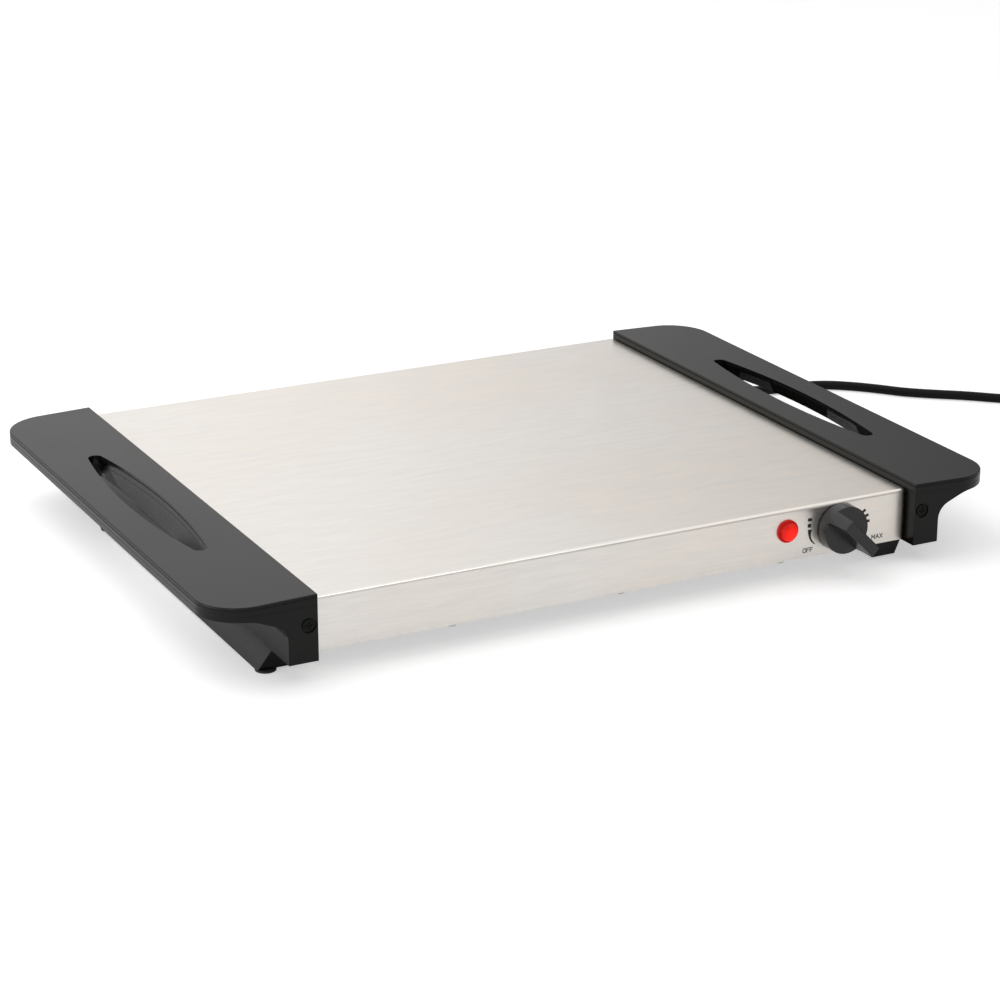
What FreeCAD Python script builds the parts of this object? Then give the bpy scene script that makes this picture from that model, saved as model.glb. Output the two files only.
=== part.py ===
import FreeCAD, Part
import Sketcher
import math
import os

# Electric food warmer tray, in millimetres.
# X runs to the right, Y to the back and Z up from the surface that the tray stands on.
# The origin is under the middle of the tray's outline, control knob included.

V = FreeCAD.Vector
doc = FreeCAD.newDocument("WarmerTray")

SIZES = [
    ("steel_width", 360, "steel top, between the handles"),
    ("handle_width", 56, "handle, from the steel to its outer edge"),
    ("tray_depth", 342, "handle, front to back"),
    ("handle_top", 47.0, "height of the handle's inner edge"),
    ("rim_top", 45.5, "height of the handle's outer edge"),
    ("rim_bottom", 38.2, "underside of the handle's outer edge"),
    ("rim_edge", 0.8, "round on the rim's upper edge"),
    ("wing_corner", 25.0, "plan corner of the handle"),
    ("leg_width", 16.2, "leg under the handle's inner edge"),
    ("leg_bottom", 11.0, "underside of the leg"),
    ("cove_low", 30.6, "height where leg and cove lines cross"),
    ("cove_high", 38.0, "height where cove and wing underside cross"),
    ("cove_out", 34.0, "distance from the steel to the end of the cove"),
    ("cove_round", 10.0, "round where the leg turns into the cove"),
    ("wing_round", 20.0, "round where the cove turns into the wing"),
    ("inner_wall", 2.2, "handle wall against the pan"),
    ("outer_wall", 2.8, "handle wall on the outer side of the leg"),
    ("end_wall", 3.0, "handle wall at front and back"),
    ("roof_wall", 4.7, "handle wall above the leg's hollow"),
    ("slot_length", 171.0, "finger slot"),
    ("slot_inner", 17.0, "from the steel to the slot's near side"),
    ("slot_outer", 38.2, "from the steel to the slot's far side"),
    ("slot_middle", 27.4, "from the steel to the slot's tips"),
    ("slot_tip", 4.0, "radius of the slot's tips"),
    ("rail_start", 23.0, "floor rail, from the near end of the handle"),
    ("rail_length", 237.0, "floor rail"),
    ("rail_inner", 7.0, "from the steel to the rail's near side"),
    ("rail_outer", 24.2, "from the steel to the rail's foot"),
    ("pad_radius", 5.6, "rubber pad"),
    ("pad_height", 1.2, "rubber pad"),
    ("pad_step", 2.6, "from the rail's end to a pad's centre"),
    ("pan_top", 42.2, "height of the steel top"),
    ("skirt_height", 29.6, "steel skirt"),
    ("pan_sheet", 0.8, "steel sheet"),
    ("pan_setback", 8.4, "front skirt behind the handle fronts"),
    ("pan_backgap", 0.5, "back skirt in front of the handle backs"),
    ("pan_fold", 2.0, "outer radius of the top fold"),
    ("pan_corner", 3.0, "outer radius of the skirt's corners"),
    ("flange_width", 9.0, "flange at the skirt's foot"),
    ("cover_sheet", 0.8, "bottom cover"),
    ("cover_gap", 1.2, "bottom cover inside the skirt"),
    ("screw_shank", 1.5, "radius of the handle end screws"),
    ("screw_head", 3.4, "radius of a handle end screw's head"),
    ("screw_rise", 0.8, "height of a handle end screw's head"),
    ("screw_length", 9.0, "handle end screw under its head"),
    ("screw_out", 5.0, "from the steel to the end screws"),
    ("screw_high", 31.0, "height of the end screws"),
    ("recess_radius", 4.2, "recess around an end screw"),
    ("recess_depth", 0.9, "recess around an end screw"),
    ("cross_long", 3.6, "driver cross in a screw head"),
    ("cross_wide", 0.8, "driver cross in a screw head"),
    ("cross_deep", 0.7, "driver cross in a screw head"),
    ("bracket_sheet", 1.0, "handle bracket"),
    ("bracket_low", 21.5, "underside of the handle bracket"),
    ("bracket_high", 37.0, "top of the handle bracket"),
    ("bracket_gap", 1.6, "bracket's ears off the leg's outer wall"),
    ("rivet_radius", 2.0, "rivet shank"),
    ("rivet_head", 3.6, "rivet head"),
    ("rivet_rise", 1.0, "rivet head"),
    ("rivet_end", 53.0, "outer rivets from the handle's ends"),
    ("rivet_high", 28.0, "height of the rivets"),
    ("shank_slack", 0.06, "gap around a shank in its hole"),
    ("cover_screw", 1.4, "radius of a bottom cover screw"),
    ("cover_head", 2.8, "radius of a bottom cover screw's head"),
    ("cover_rise", 1.6, "height of a bottom cover screw's head"),
    ("cover_reach", 4.5, "length of a bottom cover screw"),
    ("cover_screw_in", 80.0, "outer cover screws inside the steel's sides"),
    ("foot_inset", 0.7, "corner foot inside the steel's side"),
    ("foot_width", 15.0, "corner foot"),
    ("foot_lean", 5.5, "slope of the corner foot's face"),
    ("foot_depth", 34.0, "corner foot"),
    ("foot_setback", 2.4, "corner foot behind the skirt"),
    ("foot_pilot", 6.0, "depth of the pilot holes in a corner foot"),
    ("foot_screw_clear", 3.2, "foot screws inside the pan's flange"),
    ("foot_screw_first", 13.6, "front foot screw from the foot's front"),
    ("foot_screw_step", 14.0, "foot screws, front to back"),
    ("spreader_sheet", 1.5, "aluminium heat spreader"),
    ("heater_side", 27.0, "heating stack inside the steel's sides"),
    ("heater_front", 55.6, "heating stack behind the front skirt"),
    ("heater_back", 27.5, "heating stack in front of the back skirt"),
    ("mica_sheet", 0.5, "mica sheets"),
    ("ribbon_sheet", 0.3, "heating ribbon"),
    ("ribbon_width", 3.0, "heating ribbon"),
    ("ribbon_rows", 16, "heating ribbon's rows, an even number"),
    ("ribbon_end", 12.5, "first and last row inside the stack"),
    ("ribbon_side", 11.0, "ends of the rows inside the stack"),
    ("plate_sheet", 1.0, "clamp plate"),
    ("stud_radius", 2.0, "clamp studs"),
    ("stud_end", 1.6, "clamp studs below their nuts"),
    ("stud_side", 48.0, "outer clamp studs inside the stack"),
    ("stud_rows", 5, "clamp studs from the stack's middle, in ribbon rows"),
    ("stud_slack", 0.2, "gap around the studs in the stack"),
    ("nut_radius", 4.0, "clamp nuts, across corners, halved"),
    ("nut_height", 3.2, "clamp nuts"),
    ("terminal_radius", 1.4, "heater terminals"),
    ("terminal_inset", 4.0, "heater terminals from the ribbon's ends"),
    ("terminal_drop", 5.0, "heater terminals below the clamp plate"),
    ("bushing_radius", 2.6, "heater bushings"),
    ("bushing_flange", 1.2, "heater bushings' flange"),
    ("blanket_side", 15.0, "insulation blanket inside the stack's sides"),
    ("blanket_end", 7.0, "insulation blanket inside the stack's front and back"),
    ("blanket_clear", 2.1, "insulation blanket below the heater terminals"),
    ("blanket_round", 3.0, "insulation blanket's edges"),
    ("soft_gap", 0.3, "gap under the blanket and behind the spindle"),
    ("knob_out", 15.6, "knob in front of the handle fronts"),
    ("knob_inset", 44.5, "control axis inside the steel's right side"),
    ("knob_drop", 14.7, "control axis below the steel top"),
    ("knob_radius", 13.6, "knob's round base"),
    ("knob_gap", 0.8, "knob off the skirt"),
    ("knob_base", 8.2, "knob's round base in front of the skirt"),
    ("grip_root", 7.8, "width of the knob's grip at the base"),
    ("grip_front", 6.4, "width of the knob's grip at its front"),
    ("knob_round", 0.8, "round on the knob's edges"),
    ("knob_well", 8.6, "radius of the hollow behind the knob"),
    ("knob_deep", 4.4, "depth of the hollow behind the knob"),
    ("knob_turn", 45.0, "turn of the grip from level, in degrees"),
    ("spindle_radius", 3.0, "thermostat spindle"),
    ("spindle_reach", 20.0, "spindle in front of the skirt"),
    ("spindle_inside", 11.0, "spindle inside the thermostat"),
    ("bush_radius", 5.0, "threaded bush around the spindle"),
    ("bush_reach", 3.6, "threaded bush in front of the skirt"),
    ("bushnut_radius", 8.0, "nut on the bush, across corners, halved"),
    ("bushnut_height", 2.2, "nut on the bush"),
    ("stat_width", 30.0, "thermostat body"),
    ("stat_below", 1.3, "thermostat above the bottom cover"),
    ("stat_above", 1.9, "thermostat below the steel top"),
    ("stat_depth", 18.0, "thermostat body"),
    ("stat_sheet", 1.0, "thermostat's front plate"),
    ("stat_lip", 3.0, "thermostat's front plate beyond its body, each side"),
    ("tab_width", 4.8, "blade terminals"),
    ("tab_sheet", 0.8, "blade terminals"),
    ("tab_length", 7.0, "blade terminals"),
    ("tab_step", 16.0, "thermostat's two blades"),
    ("lamp_step", 33.4, "lamp to the left of the control axis"),
    ("lamp_drop", 12.2, "lamp below the steel top"),
    ("lamp_radius", 6.5, "lamp's rim"),
    ("lamp_rim", 1.2, "lamp's rim, front to back"),
    ("lamp_dome", 5.3, "radius of the lens at its foot"),
    ("lamp_waist", 4.2, "radius of the lens at half its rise"),
    ("lamp_crown", 2.0, "radius of the lens at its tip"),
    ("lamp_rise", 3.4, "lens in front of the rim"),
    ("lamp_neck", 4.8, "radius of the lamp's body"),
    ("lamp_length", 21.0, "lamp's body behind the skirt"),
    ("clip_radius", 7.2, "lamp's spring nut"),
    ("clip_sheet", 0.6, "lamp's spring nut"),
    ("lamp_leads", 4.0, "lamp's two leads, centre to centre"),
    ("fuse_radius", 2.0, "thermal fuse"),
    ("fuse_length", 12.0, "thermal fuse"),
    ("fuse_side", 93.0, "thermal fuse inside the stack's right side"),
    ("fuse_front", 32.0, "thermal fuse behind the stack's front"),
    ("clamp_sheet", 0.5, "fuse clip"),
    ("clamp_width", 5.0, "fuse clip"),
    ("block_width", 20.0, "terminal block"),
    ("block_depth", 24.0, "terminal block"),
    ("block_height", 15.0, "terminal block"),
    ("block_gap", 14.0, "terminal block inside the side skirt"),
    ("well_radius", 2.4, "screw wells in the terminal block"),
    ("block_well", 4.0, "depth of the screw wells"),
    ("lead_radius", 1.2, "internal leads"),
    ("lead_bend", 10.0, "internal leads, unit of their bends"),
    ("cord_radius", 3.0, "mains cord"),
    ("cord_back", 130.0, "cord exit behind the handle's middle"),
    ("cord_rise", 4.7, "cord exit above the skirt's foot"),
    ("gland_radius", 5.4, "strain relief's flange"),
    ("gland_flange", 1.6, "strain relief's flange"),
    ("gland_neck", 4.2, "strain relief in the wall"),
    ("gland_nose", 17.0, "strain relief outside the flange"),
    ("gland_tip", 3.6, "radius of the strain relief's end"),
    ("coil_radius", 42.3, "coil's outer turn, to the middle of the cord"),
    ("coil_gap", 0.8, "gap between the coil's turns"),
    ("coil_lead", 6.0, "straight ends of the coil"),
    ("plug_width", 35.0, "plug body"),
    ("plug_thick", 13.8, "plug body"),
    ("plug_length", 34.0, "plug body"),
    ("plug_neck", 12.0, "plug's strain relief"),
    ("plug_mouth", 3.6, "radius of the plug's strain relief at the cord"),
    ("plug_swell", 5.4, "radius of the plug's strain relief at the body"),
    ("plug_round", 3.0, "plug body's edges"),
    ("pin_radius", 2.0, "plug pins"),
    ("pin_length", 19.0, "plug pins"),
    ("pin_step", 18.6, "plug pins, centre to centre"),
]

sheet = doc.addObject("Spreadsheet::Sheet", "Sizes")


class Size:
    """A length together with the sheet formula that gives it."""

    def __init__(self, value, text):
        self.value = float(value)
        self.text = text

    def combined(self, other, sign, value):
        return Size(value, f"({self.text} {sign} {other.text})")

    def __add__(self, other):
        other = sized(other)
        return self.combined(other, "+", self.value + other.value)

    def __sub__(self, other):
        other = sized(other)
        return self.combined(other, "-", self.value - other.value)

    def __mul__(self, other):
        other = sized(other)
        return self.combined(other, "*", self.value * other.value)

    def __truediv__(self, other):
        other = sized(other)
        return self.combined(other, "/", self.value / other.value)

    def __radd__(self, other):
        return sized(other) + self

    def __rsub__(self, other):
        return sized(other) - self

    def __rmul__(self, other):
        return sized(other) * self

    def __neg__(self):
        return Size(-self.value, f"(0 - {self.text})")


def sized(value):
    """A plain number as a Size."""
    if isinstance(value, Size):
        return value
    return Size(value, f"{value:.6f}" if value >= 0 else f"(0 - {-value:.6f})")


class Driving:
    """The driving sizes, one attribute for each."""


S = Driving()
for row, (alias, number, meaning) in enumerate(SIZES, start=1):
    sheet.set(f"A{row}", meaning)
    sheet.set(f"B{row}", str(number))
    sheet.setAlias(f"B{row}", alias)
    setattr(S, alias, Size(number, f"Sizes.{alias}"))
doc.recompute()

AXIS_TURN = {
    "X": FreeCAD.Rotation(V(0, 1, 0), 90),
    "Y": FreeCAD.Rotation(V(1, 0, 0), -90),
    "Z": FreeCAD.Rotation(),
}
nodes = []


# Helpers for solids

def bind(thing, name, size):
    thing.setExpression(name, sized(size).text)


def move(thing, x, y, z):
    bind(thing, "Placement.Base.x", x)
    bind(thing, "Placement.Base.y", y)
    bind(thing, "Placement.Base.z", z)


def box(name, x, y, z):
    """A block between two values on each axis."""
    made = doc.addObject("Part::Box", name)
    bind(made, "Length", x[1] - x[0])
    bind(made, "Width", y[1] - y[0])
    bind(made, "Height", z[1] - z[0])
    move(made, x[0], y[0], z[0])
    return made


def rod(name, axis, radius, start, length):
    """A cylinder that runs from start along an axis."""
    made = doc.addObject("Part::Cylinder", name)
    bind(made, "Radius", radius)
    bind(made, "Height", length)
    made.Placement.Rotation = AXIS_TURN[axis]
    move(made, *start)
    return made


def cone(name, axis, radius, end_radius, start, length):
    made = doc.addObject("Part::Cone", name)
    bind(made, "Radius1", radius)
    bind(made, "Radius2", end_radius)
    bind(made, "Height", length)
    made.Placement.Rotation = AXIS_TURN[axis]
    move(made, *start)
    return made


def hexagon(name, axis, radius, start, length):
    made = doc.addObject("Part::Prism", name)
    made.Polygon = 6
    bind(made, "Circumradius", radius)
    bind(made, "Height", length)
    made.Placement.Rotation = AXIS_TURN[axis]
    move(made, *start)
    return made


def fused(name, parts):
    made = doc.addObject("Part::MultiFuse", name)
    made.Shapes = parts
    return made


def cut(name, base, tools):
    made = doc.addObject("Part::Cut", name)
    made.Base = base
    made.Tool = tools[0] if len(tools) == 1 else fused(name + "_tools", tools)
    return made


def grouped(name, parts):
    """Identical loose pieces as one object."""
    made = doc.addObject("Part::Compound", name)
    made.Links = parts
    return made


def keep(node, made):
    """Name a finished sub-part."""
    made.Label = node
    nodes.append(made)
    return made


def new_body(name):
    return doc.addObject("PartDesign::Body", name)


def sketch_on(body, role, offset=0):
    """A sketch on one of the body's origin planes, moved along the plane's normal."""
    drawn = body.newObject("Sketcher::SketchObject", body.Name + "_sketch")
    planes = [plane for plane in body.Origin.OriginFeatures if plane.Role == role]
    drawn.AttachmentSupport = [(planes[0], "")]
    drawn.MapMode = "FlatFace"
    bind(drawn, "AttachmentOffset.Base.z", offset)
    return drawn


def fix_point(drawn, name, geometry, position, point):
    """Tie a sketch point to two sizes."""
    for axis, size in zip(("X", "Y"), point):
        size = sized(size)
        rule = Sketcher.Constraint("Distance" + axis, -1, 1, geometry, position, size.value)
        index = drawn.addConstraint(rule)
        drawn.renameConstraint(index, name + axis)
        drawn.setExpression(f"Constraints.{name}{axis}", size.text)


def outline(drawn, points):
    """A closed run of straight lines through points tied to sizes."""
    places = [V(sized(x).value, sized(y).value, 0) for x, y in points]
    count = len(points)
    first = drawn.GeometryCount
    for number in range(count):
        line = Part.LineSegment(places[number], places[(number + 1) % count])
        drawn.addGeometry(line, False)
    for number in range(count):
        after = first + (number + 1) % count
        drawn.addConstraint(Sketcher.Constraint("Coincident", first + number, 2, after, 1))
    for number, point in enumerate(points):
        fix_point(drawn, f"corner{first + number}", first + number, 1, point)


def ring(drawn, centre, radius):
    x, y = (sized(value) for value in centre)
    radius = sized(radius)
    circle = Part.Circle(V(x.value, y.value, 0), V(0, 0, 1), radius.value)
    index = drawn.addGeometry(circle, False)
    fix_point(drawn, f"centre{index}", index, 3, (x, y))
    rule = drawn.addConstraint(Sketcher.Constraint("Radius", index, radius.value))
    drawn.renameConstraint(rule, f"radius{index}")
    drawn.setExpression(f"Constraints.radius{index}", radius.text)


def pad(body, drawn, length, reverse=False):
    made = body.newObject("PartDesign::Pad", body.Name + "_pad")
    made.Profile = drawn
    made.Reversed = reverse
    bind(made, "Length", length)
    doc.recompute()
    return made


def pocket(body, drawn, length, reverse=False):
    """A pocket of a given depth, which has to take something away."""
    before = body.Shape.Volume
    made = body.newObject("PartDesign::Pocket", body.Name + "_pocket")
    made.Profile = drawn
    made.Reversed = reverse
    bind(made, "Length", length)
    doc.recompute()
    if body.Shape.Volume > before - 0.01:
        raise ValueError(made.Name + " cuts nothing")
    return made


def round_edges(body, radius, wanted):
    """Round the edges whose two end points pass a test."""
    doc.recompute()
    before = body.Tip
    names = []
    for number, edge in enumerate(before.Shape.Edges, start=1):
        if wanted(edge.Vertexes[0].Point, edge.Vertexes[-1].Point):
            names.append(f"Edge{number}")
    made = body.newObject("PartDesign::Fillet", body.Name + "_round")
    made.Base = (before, names)
    bind(made, "Radius", radius)
    doc.recompute()
    return made


def upright_edges(body, radius, side, ends):
    """Round the upright edges at the four corners of a rectangle."""

    def wanted(a, b):
        upright = near(a.x, b.x) and near(a.y, b.y)
        return upright and near(abs(a.x), side) and any(near(a.y, end) for end in ends)

    round_edges(body, radius, wanted)


def long_edges(body, radius, x, z):
    """Round the edge that runs front to back through a point of the section."""

    def wanted(a, b):
        return all(near(p.x, x) and near(p.z, z) for p in (a, b))

    round_edges(body, radius, wanted)


def near(value, size):
    return abs(value - sized(size).value) < 0.01


def tangent_loop(drawn, pieces):
    """Join pieces end to start, each tangent to the next."""
    for number, piece in enumerate(pieces):
        after = pieces[(number + 1) % len(pieces)]
        drawn.addConstraint(Sketcher.Constraint("Tangent", piece, 2, after, 1))


def bind_radius(drawn, index, radius):
    rule = drawn.addConstraint(Sketcher.Constraint("Radius", index, radius.value))
    drawn.renameConstraint(rule, f"radius{index}")
    drawn.setExpression(f"Constraints.radius{index}", radius.text)


def arc(drawn, centre, radius, start, end):
    """An arc drawn anticlockwise from one angle to another, in radians."""
    circle = Part.Circle(V(centre[0].value, centre[1].value, 0), V(0, 0, 1), radius.value)
    return drawn.addGeometry(Part.ArcOfCircle(circle, start, end), False)


def rounded(drawn, side, near_end, far_end, radius):
    """A rectangle with round corners, as far to the left as to the right."""
    quarter = math.pi / 2
    centres = [
        (side - radius, near_end + radius),
        (side - radius, far_end - radius),
        (radius - side, far_end - radius),
        (radius - side, near_end + radius),
    ]
    pieces = []
    for number, centre in enumerate(centres):
        after = centres[(number + 1) % len(centres)]
        begin = quarter * (number - 1)
        pieces.append(arc(drawn, centre, radius, begin, begin + quarter))
        way = V(math.cos(begin + quarter), math.sin(begin + quarter), 0) * radius.value
        start = V(centre[0].value, centre[1].value, 0) + way
        end = V(after[0].value, after[1].value, 0) + way
        pieces.append(drawn.addGeometry(Part.LineSegment(start, end), False))
    tangent_loop(drawn, pieces)
    for number, centre in enumerate(centres):
        fix_point(drawn, f"round{number}", pieces[2 * number], 3, centre)
    bind_radius(drawn, pieces[0], radius)


# Places that several pieces share

half_steel = S.steel_width / 2
half_tray = half_steel + S.handle_width
front = (S.knob_out - S.tray_depth) / 2
back = front + S.tray_depth
middle = front + S.tray_depth / 2
skirt_front = front + S.pan_setback
skirt_back = back - S.pan_backgap
skirt_bottom = S.pan_top - S.skirt_height
inside_front = skirt_front + S.pan_sheet
inside_back = skirt_back - S.pan_sheet
inside_side = half_steel - S.pan_sheet
ceiling = S.pan_top - S.pan_sheet
cover_bottom = skirt_bottom + S.pan_sheet
cover_top = cover_bottom + S.cover_sheet
leg_outer = half_steel + S.leg_width
leg_hollow_in = half_steel + S.inner_wall
leg_hollow_out = leg_outer - S.outer_wall
rivet_rows = [front + S.rivet_end, middle, back - S.rivet_end]
cord_y = middle + S.cord_back
cord_high = skirt_bottom + S.cord_rise
foot_outer = half_steel - S.foot_inset
foot_inner = foot_outer - S.foot_width
foot_front = skirt_front + S.foot_setback
foot_screw_x = half_steel - S.flange_width - S.foot_screw_clear
foot_screw_places = [
    (foot_screw_x, foot_front + S.foot_screw_first + S.foot_screw_step * step)
    for step in (0, 1)
]
foot_screws_turned = [(-x, 2 * middle - y) for x, y in foot_screw_places]
cover_screw_places = [
    ((half_steel - S.cover_screw_in) * step, row)
    for step in (-1, 0, 1)
    for row in (skirt_front + S.flange_width / 2, skirt_back - S.flange_width / 2)
]
spreader_bottom = ceiling - S.spreader_sheet
mica_bottom = spreader_bottom - S.mica_sheet
ribbon_bottom = mica_bottom - S.ribbon_sheet
lower_bottom = ribbon_bottom - S.mica_sheet
plate_bottom = lower_bottom - S.plate_sheet
stack_side = half_steel - S.heater_side
stack_front = skirt_front + S.heater_front
stack_back = skirt_back - S.heater_back
stack_middle = (stack_front + stack_back) / 2
first_row = stack_front + S.ribbon_end
last_row = stack_back - S.ribbon_end
ribbon_pitch = (last_row - first_row) / (S.ribbon_rows - 1)
ribbon_side = stack_side - S.ribbon_side
stud_places = [
    ((stack_side - S.stud_side) * side, stack_middle + ribbon_pitch * S.stud_rows * end)
    for side in (-1, 0, 1)
    for end in (-1, 1)
]
terminal_x = ribbon_side - S.terminal_inset
terminal_places = [(terminal_x, first_row), (terminal_x, last_row)]
terminal_low = plate_bottom - S.terminal_drop
fuse_x = stack_side - S.fuse_side
fuse_y = stack_front + S.fuse_front
fuse_z = plate_bottom - S.fuse_radius
knob_x = half_steel - S.knob_inset
knob_z = S.pan_top - S.knob_drop
lamp_x = knob_x - S.lamp_step
lamp_z = S.pan_top - S.lamp_drop
block_x = inside_side - S.block_gap - S.block_width
stat_back = inside_front + S.stat_sheet + S.stat_depth
gland_end = leg_outer + S.gland_flange + S.gland_nose


# Pan

def make_top_pan():
    """The drawn steel top with its skirts and the flange at their foot."""
    body = new_body("Pan")
    block = sketch_on(body, "XY_Plane", skirt_bottom)
    outline(block, [
        (-half_steel, skirt_front),
        (half_steel, skirt_front),
        (half_steel, skirt_back),
        (-half_steel, skirt_back),
    ])
    pad(body, block, S.skirt_height)
    upright_edges(body, S.pan_corner, half_steel, (skirt_front, skirt_back))
    round_edges(body, S.pan_fold, lambda a, b: near(a.z, S.pan_top) and near(b.z, S.pan_top))

    hollow = sketch_on(body, "XY_Plane", cover_bottom)
    rounded(hollow, inside_side, inside_front, inside_back, S.pan_corner - S.pan_sheet)
    pocket(body, hollow, ceiling - cover_bottom, reverse=True)
    fold = S.pan_fold - S.pan_sheet
    round_edges(body, fold, lambda a, b: near(a.z, ceiling) and near(b.z, ceiling))

    mouth = sketch_on(body, "XY_Plane", skirt_bottom)
    outline(mouth, [
        (S.flange_width - half_steel, skirt_front + S.flange_width),
        (half_steel - S.flange_width, skirt_front + S.flange_width),
        (half_steel - S.flange_width, skirt_back - S.flange_width),
        (S.flange_width - half_steel, skirt_back - S.flange_width),
    ])
    pocket(body, mouth, S.pan_sheet, reverse=True)

    holes = sketch_on(body, "XZ_Plane", -skirt_front)
    ring(holes, (knob_x, knob_z), S.bush_radius + S.shank_slack)
    ring(holes, (lamp_x, lamp_z), S.lamp_neck + S.shank_slack)
    pocket(body, holes, S.pan_sheet)

    for side in (-1, 1):
        rivets = sketch_on(body, "YZ_Plane", half_steel * side)
        for y in rivet_rows:
            ring(rivets, (y, S.rivet_high), S.rivet_radius + S.shank_slack)
        if side > 0:
            ring(rivets, (cord_y, cord_high), S.cord_radius + S.shank_slack)
        pocket(body, rivets, S.pan_sheet, reverse=side < 0)

    under = sketch_on(body, "XY_Plane", cover_bottom)
    for x, y in cover_screw_places:
        ring(under, (x, y), S.cover_screw + S.shank_slack)
    pocket(body, under, S.pan_sheet)
    return keep("top_pan", body)


def make_bottom_cover():
    inset = S.pan_sheet + S.cover_gap
    side = half_steel - inset
    plate = box(
        "CoverSheet",
        (-side, side),
        (skirt_front + inset, skirt_back - inset),
        (cover_bottom, cover_top),
    )
    holes = []
    places = cover_screw_places + foot_screw_places + foot_screws_turned
    for number, (x, y) in enumerate(places):
        hole = rod(
            f"CoverHole{number}",
            "Z",
            S.cover_screw + S.shank_slack,
            (x, y, cover_bottom),
            S.cover_sheet,
        )
        holes.append(hole)
    return keep("bottom_cover", cut("BottomCover", plate, holes))


def make_cover_screws():
    """Pan head screws from below, through the flange into the bottom cover."""
    screws = []
    for number, (x, y) in enumerate(cover_screw_places):
        low = skirt_bottom
        head = rod(
            f"CoverHead{number}", "Z", S.cover_head, (x, y, low - S.cover_rise), S.cover_rise
        )
        shank = rod(f"CoverShank{number}", "Z", S.cover_screw, (x, y, low), S.cover_reach)
        screws.append(fused(f"CoverScrew{number}", [head, shank]))
    return keep("cover_screws", grouped("CoverScrews", screws))


# Handles

def corner_cut(body, x, y, reach_x, reach_y):
    """Take away a plan corner outside its round."""
    radius = S.wing_corner
    drawn = sketch_on(body, "XY_Plane", S.leg_bottom)
    centre = (x + radius * reach_x, y + radius * reach_y)
    corner = V(x.value, y.value, 0)
    level = V(centre[0].value, y.value, 0)
    upright = V(x.value, centre[1].value, 0)
    first = math.pi * 1.5 if reach_y > 0 else 0.0
    round_part = arc(drawn, centre, radius, first, first + math.pi / 2)
    ends = (level, upright) if reach_y > 0 else (upright, level)
    out = drawn.addGeometry(Part.LineSegment(ends[1], corner), False)
    home = drawn.addGeometry(Part.LineSegment(corner, ends[0]), False)
    drawn.addConstraint(Sketcher.Constraint("Tangent", round_part, 2, out, 1))
    drawn.addConstraint(Sketcher.Constraint("Coincident", out, 2, home, 1))
    drawn.addConstraint(Sketcher.Constraint("Tangent", home, 2, round_part, 1))
    flat, tall = (home, out) if reach_y > 0 else (out, home)
    drawn.addConstraint(Sketcher.Constraint("Horizontal", flat))
    drawn.addConstraint(Sketcher.Constraint("Vertical", tall))
    fix_point(drawn, "corner", home, 1, (x, y))
    bind_radius(drawn, round_part, radius)
    pocket(body, drawn, S.handle_top, reverse=True)


def slot_cut(body):
    """The finger slot: two long arcs that meet in small round tips."""
    tip = S.slot_tip
    tip_x = half_steel + S.slot_middle
    half_run = S.slot_length / 2 - tip
    near_bulge = S.slot_middle - S.slot_inner
    far_bulge = S.slot_outer - S.slot_middle
    run_square = half_run * half_run - tip * tip
    near_radius = (near_bulge * near_bulge + run_square) / (2 * (near_bulge - tip))
    far_radius = (far_bulge * far_bulge + run_square) / (2 * (far_bulge - tip))
    near_lean = math.asin(half_run.value / (near_radius - tip).value)
    far_lean = math.asin(half_run.value / (far_radius - tip).value)
    drawn = sketch_on(body, "XY_Plane", S.leg_bottom)
    near_centre = (half_steel + S.slot_inner + near_radius, middle)
    far_centre = (half_steel + S.slot_outer - far_radius, middle)
    front_tip = (tip_x, middle - half_run)
    back_tip = (tip_x, middle + half_run)
    turn = math.pi
    pieces = [
        arc(drawn, near_centre, near_radius, turn - near_lean, turn + near_lean),
        arc(drawn, front_tip, tip, turn + near_lean, 2 * turn - far_lean),
        arc(drawn, far_centre, far_radius, 2 * turn - far_lean, 2 * turn + far_lean),
        arc(drawn, back_tip, tip, far_lean, turn - near_lean),
    ]
    tangent_loop(drawn, pieces)
    fix_point(drawn, "front_tip", pieces[1], 3, front_tip)
    fix_point(drawn, "back_tip", pieces[3], 3, back_tip)
    for piece, radius in zip(pieces, (near_radius, tip, far_radius, tip)):
        bind_radius(drawn, piece, radius)
    pocket(body, drawn, S.handle_top, reverse=True)


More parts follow.
